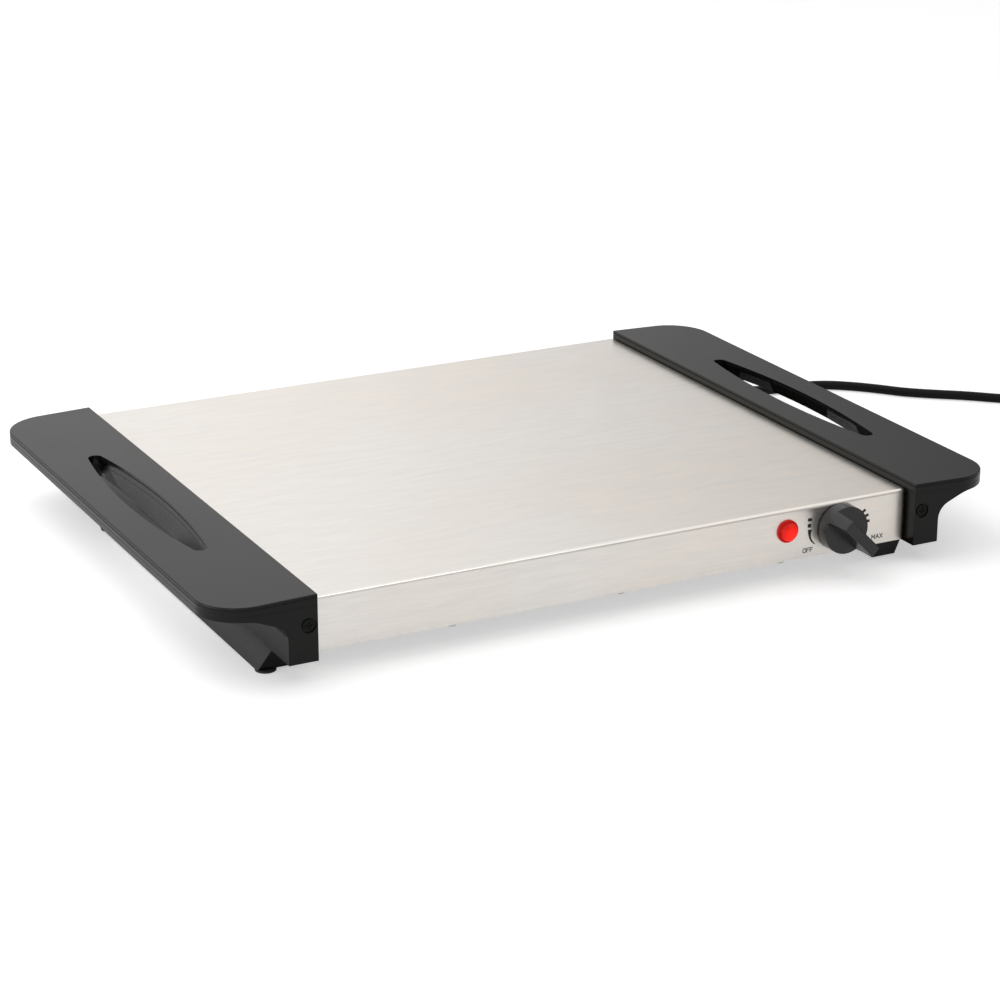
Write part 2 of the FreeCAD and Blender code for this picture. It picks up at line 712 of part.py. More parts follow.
def make_handle(node, corded):
    """One moulded handle, drawn on the right; the left one is turned half round."""
    body = new_body("Moulding")
    section = sketch_on(body, "XZ_Plane", -back)
    cove_end = half_steel + S.cove_out
    outline(section, [
        (half_steel, S.leg_bottom),
        (leg_outer, S.leg_bottom),
        (leg_outer, S.cove_low),
        (cove_end, S.cove_high),
        (half_tray, S.rim_bottom),
        (half_tray, S.rim_top),
        (half_steel, S.handle_top),
    ])
    pad(body, section, S.tray_depth)
    long_edges(body, S.cove_round, leg_outer, S.cove_low)
    long_edges(body, S.wing_round, cove_end, S.cove_high)
    corner_cut(body, half_tray, front, -1, 1)
    corner_cut(body, half_tray, back, -1, -1)
    slot_cut(body)

    hollow = sketch_on(body, "XY_Plane", S.leg_bottom)
    outline(hollow, [
        (leg_hollow_in, front + S.end_wall),
        (leg_hollow_out, front + S.end_wall),
        (leg_hollow_out, back - S.end_wall),
        (leg_hollow_in, back - S.end_wall),
    ])
    pocket(body, hollow, S.handle_top - S.roof_wall - S.leg_bottom, reverse=True)

    rail = sketch_on(body, "XZ_Plane", S.rail_start - back)
    outline(rail, [
        (half_steel + S.rail_inner, S.pad_height),
        (half_steel + S.rail_outer, S.pad_height),
        (leg_outer, S.leg_bottom),
        (half_steel + S.rail_inner, S.leg_bottom),
    ])
    pad(body, rail, S.rail_length)

    centre = (half_steel + S.screw_out, S.screw_high)
    for place, reverse in ((front, False), (back, True)):
        recess = sketch_on(body, "XZ_Plane", -place)
        ring(recess, centre, S.recess_radius)
        pocket(body, recess, S.recess_depth, reverse=reverse)
        hole = sketch_on(body, "XZ_Plane", -place)
        ring(hole, centre, S.screw_shank + S.shank_slack)
        pocket(body, hole, S.end_wall, reverse=reverse)

    rivets = sketch_on(body, "YZ_Plane", leg_hollow_in)
    for y in rivet_rows:
        ring(rivets, (y, S.rivet_high), S.rivet_radius + S.shank_slack)
    pocket(body, rivets, S.inner_wall)
    if corded:
        exit_hole = sketch_on(body, "YZ_Plane", leg_outer)
        ring(exit_hole, (cord_y, cord_high), S.gland_neck + S.shank_slack)
        pocket(body, exit_hole, S.outer_wall)
        way_in = sketch_on(body, "YZ_Plane", leg_hollow_in)
        ring(way_in, (cord_y, cord_high), S.cord_radius + S.shank_slack)
        pocket(body, way_in, S.inner_wall)
    long_edges(body, S.rim_edge, half_tray, S.rim_top)
    if not corded:
        turn_half(body)
    return keep(node, body)


def turn_half(made):
    """Turn a piece drawn on the right half round, onto the left."""
    made.Placement.Rotation = FreeCAD.Rotation(V(0, 0, 1), 180)
    bind(made, "Placement.Base.y", 2 * middle)


def make_bracket(node, right):
    """Steel strip inside the handle, with an ear behind each end screw."""
    low, high = S.bracket_low, S.bracket_high
    strip_out = leg_hollow_in + S.bracket_sheet
    first, last = front + S.end_wall, back - S.end_wall
    strip = box("Strip", (leg_hollow_in, strip_out), (first, last), (low, high))
    ear_x = (leg_hollow_in, leg_hollow_out - S.bracket_gap)
    ears = [
        box("FrontEar", ear_x, (first, first + S.bracket_sheet), (low, high)),
        box("BackEar", ear_x, (last - S.bracket_sheet, last), (low, high)),
    ]
    x = half_steel + S.screw_out
    holes = [
        rod("FrontThread", "Y", S.screw_shank + S.shank_slack, (x, first, S.screw_high),
            S.bracket_sheet),
        rod("BackThread", "Y", S.screw_shank + S.shank_slack,
            (x, last - S.bracket_sheet, S.screw_high), S.bracket_sheet),
    ]
    for y in rivet_rows:
        hole = rod("RivetHole", "X", S.rivet_radius + S.shank_slack,
                   (leg_hollow_in, y, S.rivet_high), S.bracket_sheet)
        holes.append(hole)
    made = cut("Bracket", fused("BracketBlank", [strip] + ears), holes)
    if not right:
        turn_half(made)
    return keep(node, made)


def make_rivets():
    """Rivets through the pan's side skirt, the handle's wall and its bracket."""
    rivets = []
    stack = S.pan_sheet + S.inner_wall + S.bracket_sheet
    for side in (-1, 1):
        for y in rivet_rows:
            begin = inside_side if side > 0 else -inside_side - stack
            low = begin - S.rivet_rise
            shank = rod("RivetShank", "X", S.rivet_radius, (begin, y, S.rivet_high), stack)
            heads = [
                rod("RivetHead", "X", S.rivet_head, (low, y, S.rivet_high), S.rivet_rise),
                rod("RivetTail", "X", S.rivet_head, (begin + stack, y, S.rivet_high),
                    S.rivet_rise),
            ]
            rivets.append(fused("Rivet", [shank] + heads))
    return keep("handle_rivets", grouped("Rivets", rivets))


def make_end_screws():
    """Cross head screws in the handle ends."""
    screws = []
    for side in (-1, 1):
        x = (half_steel + S.screw_out) * side
        for place, way in ((front, 1), (back, -1)):
            seat = place + S.recess_depth * way
            outer = seat - S.screw_rise * way
            low = seat if way > 0 else seat - S.screw_length
            head_low = outer if way > 0 else seat
            shank = rod("EndShank", "Y", S.screw_shank, (x, low, S.screw_high), S.screw_length)
            head = rod("EndHead", "Y", S.screw_head, (x, head_low, S.screw_high), S.screw_rise)
            deep = S.cross_deep
            y = (outer, outer + deep) if way > 0 else (outer - deep, outer)
            long, wide = S.cross_long / 2, S.cross_wide / 2
            high = S.screw_high
            cross = [
                box("CrossLevel", (x - long, x + long), y, (high - wide, high + wide)),
                box("CrossUpright", (x - wide, x + wide), y, (high - long, high + long)),
            ]
            screws.append(cut("EndScrew", fused("EndBlank", [shank, head]), cross))
    return keep("handle_end_screws", grouped("EndScrews", screws))


def make_pads():
    """Rubber pads under the ends of both floor rails and under the corner feet."""
    pads = []
    for side in (-1, 1):
        for place in (S.rail_start + S.pad_step, S.rail_start + S.rail_length - S.pad_step):
            x = (half_steel + S.rail_outer - S.pad_radius) * side
            y = back - place if side > 0 else front + place
            pads.append(rod("Pad", "Z", S.pad_radius, (x, y, 0), S.pad_height))
    x = (foot_inner + foot_outer) / 2
    y = foot_front + S.foot_depth / 2
    pads.append(rod("Pad", "Z", S.pad_radius, (x, y, 0), S.pad_height))
    pads.append(rod("Pad", "Z", S.pad_radius, (-x, 2 * middle - y, 0), S.pad_height))
    return keep("foot_pads", grouped("Pads", pads))


def make_corner_foot(node, right):
    """Moulded foot under a corner of the pan, with pilot holes for its screws."""
    body = new_body("CornerFoot")
    section = sketch_on(body, "YZ_Plane", foot_inner)
    outline(section, [
        (foot_front + S.foot_lean, S.pad_height),
        (foot_front + S.foot_depth - S.foot_lean, S.pad_height),
        (foot_front + S.foot_depth, skirt_bottom),
        (foot_front, skirt_bottom),
    ])
    pad(body, section, S.foot_width)
    pilots = sketch_on(body, "XY_Plane", skirt_bottom)
    for x, y in foot_screw_places:
        ring(pilots, (x, y), S.cover_screw + S.shank_slack)
    pocket(body, pilots, S.foot_pilot)
    if not right:
        turn_half(body)
    return keep(node, body)


def make_foot_screws():
    """Screws from inside, through the bottom cover into the corner feet."""
    screws = []
    reach = S.cover_sheet + S.pan_sheet + S.foot_pilot
    for x, y in foot_screw_places + foot_screws_turned:
        head = rod("FootHead", "Z", S.cover_head, (x, y, cover_top), S.cover_rise)
        shank = rod("FootShank", "Z", S.cover_screw, (x, y, cover_top - reach), reach)
        screws.append(fused("FootScrew", [head, shank]))
    return keep("foot_screws", grouped("FootScrews", screws))


# Heating stack under the steel top, from the top down

def stack_sheet(node, top, thickness, way_radius=None):
    """A sheet of the stack with holes for the clamp studs and the heater's pins."""
    low = top - thickness
    blank = box("StackSheet", (-stack_side, stack_side), (stack_front, stack_back), (low, top))
    radius = S.stud_radius + S.stud_slack
    holes = [rod("StudHole", "Z", radius, (x, y, low), thickness) for x, y in stud_places]
    if way_radius is not None:
        for x, y in terminal_places:
            holes.append(rod("PinHole", "Z", way_radius, (x, y, low), thickness))
    return keep(node, cut("StackCut", blank, holes))


def make_ribbon():
    """Flat resistance ribbon laid to and fro between the mica sheets."""
    rows = []
    half = ribbon_side
    wide = S.ribbon_width
    z = (ribbon_bottom, mica_bottom)
    for number in range(int(S.ribbon_rows.value)):
        y = first_row + ribbon_pitch * number
        rows.append(box("RibbonRow", (-half, half), (y - wide / 2, y + wide / 2), z))
        if number + 1 < S.ribbon_rows.value:
            x = (half - wide, half) if number % 2 else (-half, wide - half)
            rows.append(box("RibbonEnd", x, (y, y + ribbon_pitch), z))
    return keep("heating_ribbon", fused("Ribbon", rows))


def make_studs():
    low = plate_bottom - S.nut_height - S.stud_end
    studs = [rod("Stud", "Z", S.stud_radius, (x, y, low), ceiling - low)
             for x, y in stud_places]
    return keep("clamp_studs", grouped("Studs", studs))


def make_nuts():
    nuts = []
    for x, y in stud_places:
        start = (x, y, plate_bottom - S.nut_height)
        blank = hexagon("NutBlank", "Z", S.nut_radius, start, S.nut_height)
        thread = rod("NutThread", "Z", S.stud_radius + S.shank_slack, start, S.nut_height)
        nuts.append(cut("Nut", blank, [thread]))
    return keep("clamp_nuts", grouped("Nuts", nuts))


def make_heater_terminals():
    """Brass pins from the ribbon down through the clamp plate, and their bushings."""
    pins = []
    bushings = []
    low = terminal_low
    flange_low = plate_bottom - S.bushing_flange
    tall = S.bushing_flange + S.plate_sheet
    for x, y in terminal_places:
        pins.append(rod("HeaterPin", "Z", S.terminal_radius, (x, y, low), ribbon_bottom - low))
        start = (x, y, flange_low)
        sleeve = rod("Sleeve", "Z", S.bushing_radius, start, tall)
        flange = rod("SleeveFlange", "Z", S.bushing_radius + S.bushing_flange, start,
                     S.bushing_flange)
        bore = rod("SleeveBore", "Z", S.terminal_radius + S.shank_slack, start, tall)
        bushings.append(cut("Bushing", fused("BushingBlank", [sleeve, flange]), [bore]))
    keep("heater_terminals", grouped("HeaterPins", pins))
    return keep("heater_bushings", grouped("Bushings", bushings))


def make_blanket():
    body = new_body("Blanket")
    x = stack_side - S.blanket_side
    near_end, far_end = stack_front + S.blanket_end, stack_back - S.blanket_end
    low = cover_top + S.soft_gap
    drawn = sketch_on(body, "XY_Plane", low)
    outline(drawn, [(-x, near_end), (x, near_end), (x, far_end), (-x, far_end)])
    pad(body, drawn, terminal_low - S.blanket_clear - low)
    upright_edges(body, S.blanket_round, x, (near_end, far_end))
    return keep("insulation_blanket", body)


# Control

def make_thermostat():
    """Thermostat with its plate, threaded bush, two blade terminals and spindle."""
    x = knob_x
    z = knob_z
    plate_back = inside_front + S.stat_sheet
    half = S.stat_width / 2
    tall = (cover_top + S.stat_below, ceiling - S.stat_above)
    wide = half + S.stat_lip
    plate = box("StatPlate", (x - wide, x + wide), (inside_front, plate_back), tall)
    opening = rod("StatPlateHole", "Y", S.bush_radius + S.shank_slack, (x, inside_front, z),
                  S.stat_sheet)
    keep("thermostat_bracket", cut("StatBracket", plate, [opening]))

    case = box("StatCase", (x - half, x + half), (plate_back, stat_back), tall)
    bush_start = skirt_front - S.bush_reach
    bush = rod("StatBush", "Y", S.bush_radius, (x, bush_start, z), plate_back - bush_start)
    tabs = []
    for side in (-1, 1):
        tab_x = x + S.tab_step / 2 * side
        tab = box("StatTab", (tab_x - S.tab_sheet / 2, tab_x + S.tab_sheet / 2),
                  (stat_back, stat_back + S.tab_length),
                  (z - S.tab_width / 2, z + S.tab_width / 2))
        tabs.append(tab)
    bore = rod("StatBore", "Y", S.spindle_radius + S.shank_slack, (x, bush_start, z),
               S.bush_reach + S.spindle_inside + S.soft_gap)
    keep("thermostat_body", cut("Thermostat", fused("StatBlank", [case, bush] + tabs), [bore]))

    spindle = rod("Spindle", "Y", S.spindle_radius, (x, skirt_front - S.spindle_reach, z),
                  S.spindle_reach + S.spindle_inside)
    keep("thermostat_spindle", spindle)

    start = (x, skirt_front - S.bushnut_height, z)
    nut = hexagon("BushNutBlank", "Y", S.bushnut_radius, start, S.bushnut_height)
    thread = rod("BushNutThread", "Y", S.bush_radius + S.shank_slack, start, S.bushnut_height)
    return keep("bush_nut", cut("BushNut", nut, [thread]))


def on_control(made):
    """Put a piece drawn about the control axis in its place, turned with the knob."""
    made.Placement.Rotation = FreeCAD.Rotation(V(0, 1, 0), S.knob_turn.value)
    bind_angle(made, S.knob_turn)
    move(made, knob_x, skirt_front - S.knob_gap, knob_z)


def bind_angle(made, degrees):
    made.setExpression("Placement.Rotation.Angle", degrees.text)


def grip_outline(drawn, radius, width):
    """A bar across a circle: two level sides, and ends that follow the circle."""
    high = width.value / 2
    lean = math.asin(high / radius.value)
    reach = radius.value * math.cos(lean)
    centre = (sized(0), sized(0))
    right_end = arc(drawn, centre, radius, -lean, lean)
    upper = drawn.addGeometry(Part.LineSegment(V(reach, high, 0), V(-reach, high, 0)), False)
    left_end = arc(drawn, centre, radius, math.pi - lean, math.pi + lean)
    lower = drawn.addGeometry(Part.LineSegment(V(-reach, -high, 0), V(reach, -high, 0)), False)
    pieces = [right_end, upper, left_end, lower]
    for number, piece in enumerate(pieces):
        after = pieces[(number + 1) % len(pieces)]
        drawn.addConstraint(Sketcher.Constraint("Coincident", piece, 2, after, 1))
    for end, name in ((right_end, "right"), (left_end, "left")):
        fix_point(drawn, name, end, 3, centre)
        bind_radius(drawn, end, radius)
    drawn.addConstraint(Sketcher.Constraint("Horizontal", upper))
    drawn.addConstraint(Sketcher.Constraint("Horizontal", lower))
    for line, name, size in ((upper, "upper", width / 2), (lower, "lower", -width / 2)):
        rule = drawn.addConstraint(Sketcher.Constraint("DistanceY", -1, 1, line, 1, size.value))
        drawn.renameConstraint(rule, name)
        drawn.setExpression(f"Constraints.{name}", size.text)


def make_knob():
    """Round base with a grip across it; the spindle's bore and a well behind."""
    body = new_body("Knob")
    base_tall = S.knob_base - S.knob_gap
    tall = S.pan_setback + S.knob_out - S.knob_gap
    disc = sketch_on(body, "XZ_Plane")
    ring(disc, (0, 0), S.knob_radius)
    pad(body, disc, base_tall)
    grip = sketch_on(body, "XZ_Plane", base_tall)
    grip_outline(grip, S.knob_radius, S.grip_root)
    made = pad(body, grip, tall - base_tall)
    narrowing = (S.grip_root - S.grip_front) / 2 / (tall - base_tall)
    made.setExpression("TaperAngle", f"-atan({narrowing.text})")
    round_edges(body, S.knob_round, lambda a, b: near(a.y, -tall) and near(b.y, -tall))
    well = sketch_on(body, "XZ_Plane")
    ring(well, (0, 0), S.knob_well)
    pocket(body, well, S.knob_deep, reverse=True)
    bore = sketch_on(body, "XZ_Plane")
    ring(bore, (0, 0), S.spindle_radius + S.shank_slack)
    pocket(body, bore, S.spindle_reach - S.knob_gap, reverse=True)
    on_control(body)
    return keep("control_knob", body)


# Lamp

def make_lamp():
    x = lamp_x
    z = lamp_z
    rise = S.lamp_rise / 2
    rim_front = skirt_front - S.lamp_rim
    rim = rod("LampRim", "Y", S.lamp_radius, (x, rim_front, z), S.lamp_rim)
    foot = cone("LensFoot", "Y", S.lamp_waist, S.lamp_dome, (x, rim_front - rise, z), rise)
    tip = cone("LensTip", "Y", S.lamp_crown, S.lamp_waist, (x, rim_front - 2 * rise, z), rise)
    keep("lamp_lens", fused("LampLens", [rim, foot, tip]))
    start = (x, skirt_front, z)
    keep("lamp_body", rod("LampNeck", "Y", S.lamp_neck, start, S.lamp_length))
    start = (x, inside_front, z)
    washer = rod("LampWasher", "Y", S.clip_radius, start, S.clip_sheet)
    bore = rod("LampWasherBore", "Y", S.lamp_neck + S.shank_slack, start, S.clip_sheet)
    return keep("lamp_clip", cut("LampClip", washer, [bore]))


# Fuse and terminal block

def make_fuse():
    """Thermal fuse under the clamp plate, held by a saddle clip."""
    start = (fuse_x - S.fuse_length / 2, fuse_y, fuse_z)
    keep("thermal_fuse", rod("Fuse", "X", S.fuse_radius, start, S.fuse_length))
    wide = S.clamp_width / 2
    reach = S.fuse_radius + S.shank_slack
    outer = reach + S.clamp_sheet
    x = (fuse_x - wide, fuse_x + wide)
    saddle = box("Saddle", x, (fuse_y - outer, fuse_y + outer), (fuse_z - outer, plate_bottom))
    foot = box("SaddleFoot", x, (fuse_y, fuse_y + outer + S.clamp_width),
               (plate_bottom - S.clamp_sheet, plate_bottom))
    start = (fuse_x - wide, fuse_y, fuse_z)
    tunnel = rod("SaddleTunnel", "X", reach, start, S.clamp_width)
    slot = box("SaddleSlot", x, (fuse_y - reach, fuse_y + reach), (fuse_z, plate_bottom))
    return keep("fuse_clip", cut("FuseClip", fused("ClipBlank", [saddle, foot]), [tunnel, slot]))


def make_terminal_block():
    """Ceramic block where the cord's wires meet the internal leads."""
    x = (block_x, block_x + S.block_width)
    y = (cord_y - S.block_depth / 2, cord_y + S.block_depth / 2)
    top = cover_top + S.block_height
    blank = box("Block", x, y, (cover_top, top))
    wells = []
    for side in (-1, 1):
        start = ((x[0] + x[1]) / 2, cord_y + S.block_depth / 4 * side, top - S.block_well)
        wells.append(rod("BlockWell", "Z", S.well_radius, start, S.block_well))
    return keep("terminal_block", cut("TerminalBlock", blank, wells))


# Wires and cord

ARC_SHARE = 0.45
POINT_STEP = 2.0


def corner_arc(start, corner, end):
    """The arc that touches both sides of a corner, with its radius."""
    into = (corner - start).normalize()
    out = (end - corner).normalize()
    half_turn = into.getAngle(out) / 2
    setback = corner.distanceToPoint(start)
    radius = setback / math.tan(half_turn)
    inwards = (out - into).normalize()
    through = corner + inwards * (radius / math.cos(half_turn) - radius)
    return Part.Arc(start, through, end), radius


def tangent_path(name, points):
    """Straight runs joined by tangent arcs, as one wire."""
    points = [V(*point) for point in points]
    edges = []
    radii = []
    begin = points[0]
    for before, corner, after in zip(points, points[1:], points[2:]):
        setback = ARC_SHARE * min(corner.distanceToPoint(before), corner.distanceToPoint(after))
        start = corner - (corner - before).normalize() * setback
        end = corner + (after - corner).normalize() * setback
        bend, radius = corner_arc(start, corner, end)
        radii.append(radius)
        edges.append(Part.LineSegment(begin, start).toShape())
        edges.append(bend.toShape())
        begin = end
    edges.append(Part.LineSegment(begin, points[-1]).toShape())
    print(name, "bend radii", [round(radius, 1) for radius in radii])
    return Part.Wire(edges)


def tube(node, wire, radius):
    """A round tube along a wire, square at both ends."""
    first = wire.Edges[0]
    start = first.valueAt(first.FirstParameter)
    way = first.tangentAt(first.FirstParameter)
    ring_edge = Part.Edge(Part.Circle(start, way, radius.value))
    shape = wire.makePipeShell([Part.Wire([ring_edge])], True, False)
    ideal = math.pi * radius.value ** 2 * wire.Length
    print(node, "length", round(wire.Length, 1), "volume ratio", round(shape.Volume / ideal, 5))
    made = doc.addObject("Part::Feature", "Tube")
    made.Shape = shape
    return keep(node, made)


def numbers(point):
    return tuple(sized(value).value for value in point)


def make_leads():
    """The internal leads. Their bends are counted in the size lead_bend."""
    bend = S.lead_bend
    tab_end = stat_back + S.tab_length
    live_tab = knob_x + S.tab_step / 2
    switched_tab = knob_x - S.tab_step / 2
    block_face = cord_y - S.block_depth / 2
    block_step = S.block_width / 4
    live_lane = block_x + block_step
    return_lane = block_x + block_step * 2
    neutral_lane = block_x + block_step * 3
    upper = cover_top + S.block_height / 2
    lower = cover_top + S.block_height / 3
    fuse_left = fuse_x - S.fuse_length / 2
    fuse_right = fuse_x + S.fuse_length / 2
    lamp_back = skirt_front + S.lamp_length
    lamp_right = lamp_x + S.lamp_leads / 2
    lamp_left = lamp_x - S.lamp_leads / 2
    high = knob_z
    routes = {
        "lead_live": [
            (live_lane, block_face, upper),
            (live_lane, tab_end + bend * 3.5, upper),
            (live_tab, tab_end + bend * 1.7, high),
            (live_tab, tab_end, high),
        ],
        "lead_switched": [
            (switched_tab, tab_end, high),
            (switched_tab, tab_end + bend * 1.5, high),
            (switched_tab - bend * 1.5, tab_end + bend * 2.4, fuse_z),
            (fuse_left - bend, tab_end + bend * 2.4, fuse_z),
            (fuse_left - bend * 2.2, tab_end + bend * 3.6, fuse_z),
            (fuse_left - bend * 2.2, fuse_y - bend * 1.2, fuse_z),
            (fuse_left - bend * 1.2, fuse_y, fuse_z),
            (fuse_left, fuse_y, fuse_z),
        ],
        "lead_fused": [
            (fuse_right, fuse_y, fuse_z),
            (terminal_x - bend * 1.1, fuse_y, fuse_z),
            (terminal_x, fuse_y - bend * 0.9, plate_bottom - bend * 0.26),
            (terminal_x, first_row + S.terminal_radius, plate_bottom - bend * 0.26),
        ],
        "lead_neutral": [
            (terminal_x, last_row - S.terminal_radius, plate_bottom - bend * 0.3),
            (terminal_x, last_row - bend * 2.2, plate_bottom - bend * 0.3),
            (terminal_x + bend * 0.6, last_row - bend * 3.4, plate_bottom - bend * 0.75),
            (neutral_lane - bend * 0.6, last_row - bend * 3.4, upper + bend * 0.3),
            (neutral_lane, block_face - bend * 1.1, upper),
            (neutral_lane, block_face, upper),
        ],
        "lead_lamp": [
            (lamp_right, lamp_back, lamp_z),
            (lamp_right, lamp_back + bend * 2.2, lamp_z),
            (lamp_right + bend * 0.8, first_row - bend * 0.9, plate_bottom - bend * 0.5),
            (terminal_x - bend * 1.4, first_row, plate_bottom - bend * 0.38),
            (terminal_x - S.terminal_radius, first_row, plate_bottom - bend * 0.38),
        ],
        "lead_lamp_return": [
            (lamp_left, lamp_back, lamp_z),
            (lamp_left, lamp_back + bend * 1.2, lamp_z),
            (lamp_left + bend * 0.8, lamp_back + bend * 2.6, lower + bend * 0.1),
            (return_lane - bend * 1.1, lamp_back + bend * 2.6, lower),
            (return_lane, lamp_back + bend * 3.7, lower),
            (return_lane, block_face, lower),
        ],
    }
    for node, route in routes.items():
        wire = tangent_path(node, [numbers(point) for point in route])
        tube(node, wire, S.lead_radius)


def make_gland():
    """Strain relief in the right handle's wall, around the cord's end."""
    wall_in = leg_hollow_out
    neck = rod("GlandNeck", "X", S.gland_neck, (wall_in, cord_y, cord_high),
               leg_outer - wall_in)
    flange = rod("GlandFlange", "X", S.gland_radius, (leg_outer, cord_y, cord_high),
                 S.gland_flange)
    nose_start = (leg_outer + S.gland_flange, cord_y, cord_high)
    nose = cone("GlandNose", "X", S.gland_neck, S.gland_tip, nose_start, S.gland_nose)
    return keep("cord_strain_relief", fused("Gland", [neck, flange, nose]))


def make_inner_cord():
    start = block_x + S.block_width
    begin = (start, cord_y, cord_high)
    return keep("cord_inner", rod("InnerCord", "X", S.cord_radius, begin, leg_hollow_out - start))


# The cord on the table: places from the handle's middle, as they lie in the photo
CORD_REST = 3.02
CORD_STRAIGHT = 10.2
CORD_ROUTE = [
    (243, 130.5, 12.2),
    (259, 131.5, 5.4),
    (277, 132, CORD_REST),
    (296, 131.2, CORD_REST),
    (315, 126.5, CORD_REST),
    (330, 117, CORD_REST),
    (343, 105, CORD_REST),
    (354, 91.5, CORD_REST),
    (369, 79, CORD_REST),
    (385, 68, CORD_REST),
    (400, 54.5, CORD_REST),
    (417, 36, CORD_REST),
]
COIL_START = (434.8, 19.9, CORD_REST)
COIL_ANGLE = 228.0
COIL_STEPS = [(-1, 0), (-1, 0), (-1, 0), (-1, 0), (-1, 1), (2, 0), (1, 0), (1, 0)]
CORD_END_LEVEL = 40.0
CORD_END_DROP = 22.0
CORD_END_FLAT = 12.0
PLUG_REST = 0.02


def make_mains_cord():
    """The cord from the strain relief to the put-away coil."""
    shift = middle.value
    start = gland_end.value
    points = [(start + ahead, cord_y.value, cord_high.value) for ahead in (0, CORD_STRAIGHT)]
    points += [(x, y + shift, z) for x, y, z in CORD_ROUTE]
    points.append((COIL_START[0], COIL_START[1] + shift, COIL_START[2]))
    return tube("mains_cord", tangent_path("mains_cord", points), S.cord_radius)


def coil_points():
    """Ends and headings of the coil's half turns, two layers of one spiral.

    Each step gives the change of radius in half pitches and the layers climbed.
    """
    angle = math.radians(COIL_ANGLE)
    outward = V(math.cos(angle), math.sin(angle), 0)
    heading = V(-math.sin(angle), math.cos(angle), 0)
    outer = S.coil_radius.value
    pitch = 2 * S.cord_radius.value + S.coil_gap.value
    start = V(COIL_START[0], COIL_START[1] + middle.value, COIL_START[2])
    start = start + heading * S.coil_lead.value
    centre = start - outward * outer
    radius = outer
    height = 0.0
    side = 1
    found = [(start, heading)]
    for grow, climb in COIL_STEPS:
        radius += grow * pitch / 2
        height += climb * pitch
        side = -side
        place = centre + outward * (radius * side) + V(0, 0, height)
        found.append((place, heading * side))
    return found, heading


def make_coil():
    """The put-away part of the cord as one unbroken tube."""
    found, heading = coil_points()
    lead = heading * S.coil_lead.value
    edges = [Part.LineSegment(found[0][0] - lead, found[0][0]).toShape()]
    for (place, way), (after, _) in zip(found, found[1:]):
        reach = place.distanceToPoint(after) / 2
        first = place + way * reach
        second = after + way * reach
        joint = (first + second) / 2
        edges.append(corner_arc(place, first, joint)[0].toShape())
        edges.append(corner_arc(joint, second, after)[0].toShape())
    last, way = found[-1]
    edges.append(Part.LineSegment(last, last + way * S.coil_lead.value).toShape())
    wire = Part.Wire(edges)
    print("cord_coil least gap", round(coil_gap(wire), 3))
    tube("cord_coil", wire, S.cord_radius)
    return last + way * S.coil_lead.value, way


def coil_gap(wire):
    """Least gap between turns of the coil, measured between points along it."""
    points = wire.discretize(Distance=POINT_STEP)
    skip = int(2 * math.pi * S.coil_radius.value / 4 / POINT_STEP)
    least = min(
        points[i].distanceToPoint(points[j])
        for i in range(0, len(points), 2)
        for j in range(i + skip, len(points))
    )
    return least - 2 * S.cord_radius.value


def make_plug(start, way):
    """The last of the cord and its plug, which lies on the table."""
    level = PLUG_REST + S.plug_thick.value / 2
    drop = start + way * CORD_END_LEVEL
    low = drop + way * CORD_END_DROP
    low.z = level
    mouth = low + way * CORD_END_FLAT
    tube("cord_end", tangent_path("cord_end", [start, drop, low, mouth]), S.cord_radius)

    neck = cone("PlugNeck", "X", S.plug_mouth, S.plug_swell, (0, 0, 0), S.plug_neck)
    half = S.plug_width / 2
    thick = S.plug_thick / 2
    end = S.plug_neck + S.plug_length
    block = new_body("PlugBlock")
    drawn = sketch_on(block, "YZ_Plane", S.plug_neck)
    outline(drawn, [(-half, -thick), (half, -thick), (half, thick), (-half, thick)])
    pad(block, drawn, S.plug_length)
    round_edges(block, S.plug_round, lambda a, b: near(a.y, b.y) and near(a.z, b.z))
    plug = fused("Plug", [neck, block])
    pins = [
        rod("PlugPin", "X", S.pin_radius, (end, S.pin_step / 2 * side, 0), S.pin_length)
        for side in (-1, 1)
    ]
    both = grouped("PlugPins", pins)
    for made in (plug, both):
        made.Placement = FreeCAD.Placement(mouth, FreeCAD.Rotation(V(1, 0, 0), way))
    keep("plug_body", plug)
    return keep("plug_pins", both)


# The assembly

make_top_pan()
make_bottom_cover()
make_cover_screws()
make_handle("handle_left", corded=False)
make_handle("handle_right", corded=True)
make_bracket("handle_bracket_left", right=False)
make_bracket("handle_bracket_right", right=True)
make_rivets()
make_end_screws()
make_pads()
make_corner_foot("corner_foot_front", right=True)
make_corner_foot("corner_foot_rear", right=False)
make_foot_screws()
stack_sheet("heat_spreader", ceiling, S.spreader_sheet)
stack_sheet("mica_upper", spreader_bottom, S.mica_sheet)
make_ribbon()
stack_sheet("mica_lower", ribbon_bottom, S.mica_sheet, S.terminal_radius + S.shank_slack)
stack_sheet("clamp_plate", lower_bottom, S.plate_sheet, S.bushing_radius + S.shank_slack)
make_studs()
make_nuts()
make_heater_terminals()
make_blanket()
make_thermostat()
make_knob()
make_lamp()
make_fuse()
make_terminal_block()
make_leads()
make_gland()
make_inner_cord()
make_mains_cord()
coil_end, coil_way = make_coil()
make_plug(coil_end, coil_way)

doc.recompute()
for thing in doc.Objects:
    if "Invalid" in thing.State or "Error" in thing.State:
        raise ValueError(f"{thing.Label} did not compute")
for made in nodes:
    if made.Shape.isNull() or not made.Shape.isValid():
        raise ValueError(f"{made.Label} has no valid shape")

os.makedirs("parts", exist_ok=True)
for made in nodes:
    made.Shape.exportStep(f"parts/{made.Label}.step")
    size = made.Shape.BoundBox
    print(made.Label, [round(value, 2) for value in (
        size.XMin, size.XMax, size.YMin, size.YMax, size.ZMin, size.ZMax)],
        len(made.Shape.Solids))
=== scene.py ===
import math

import bmesh
import bpy
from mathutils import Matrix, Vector, noise


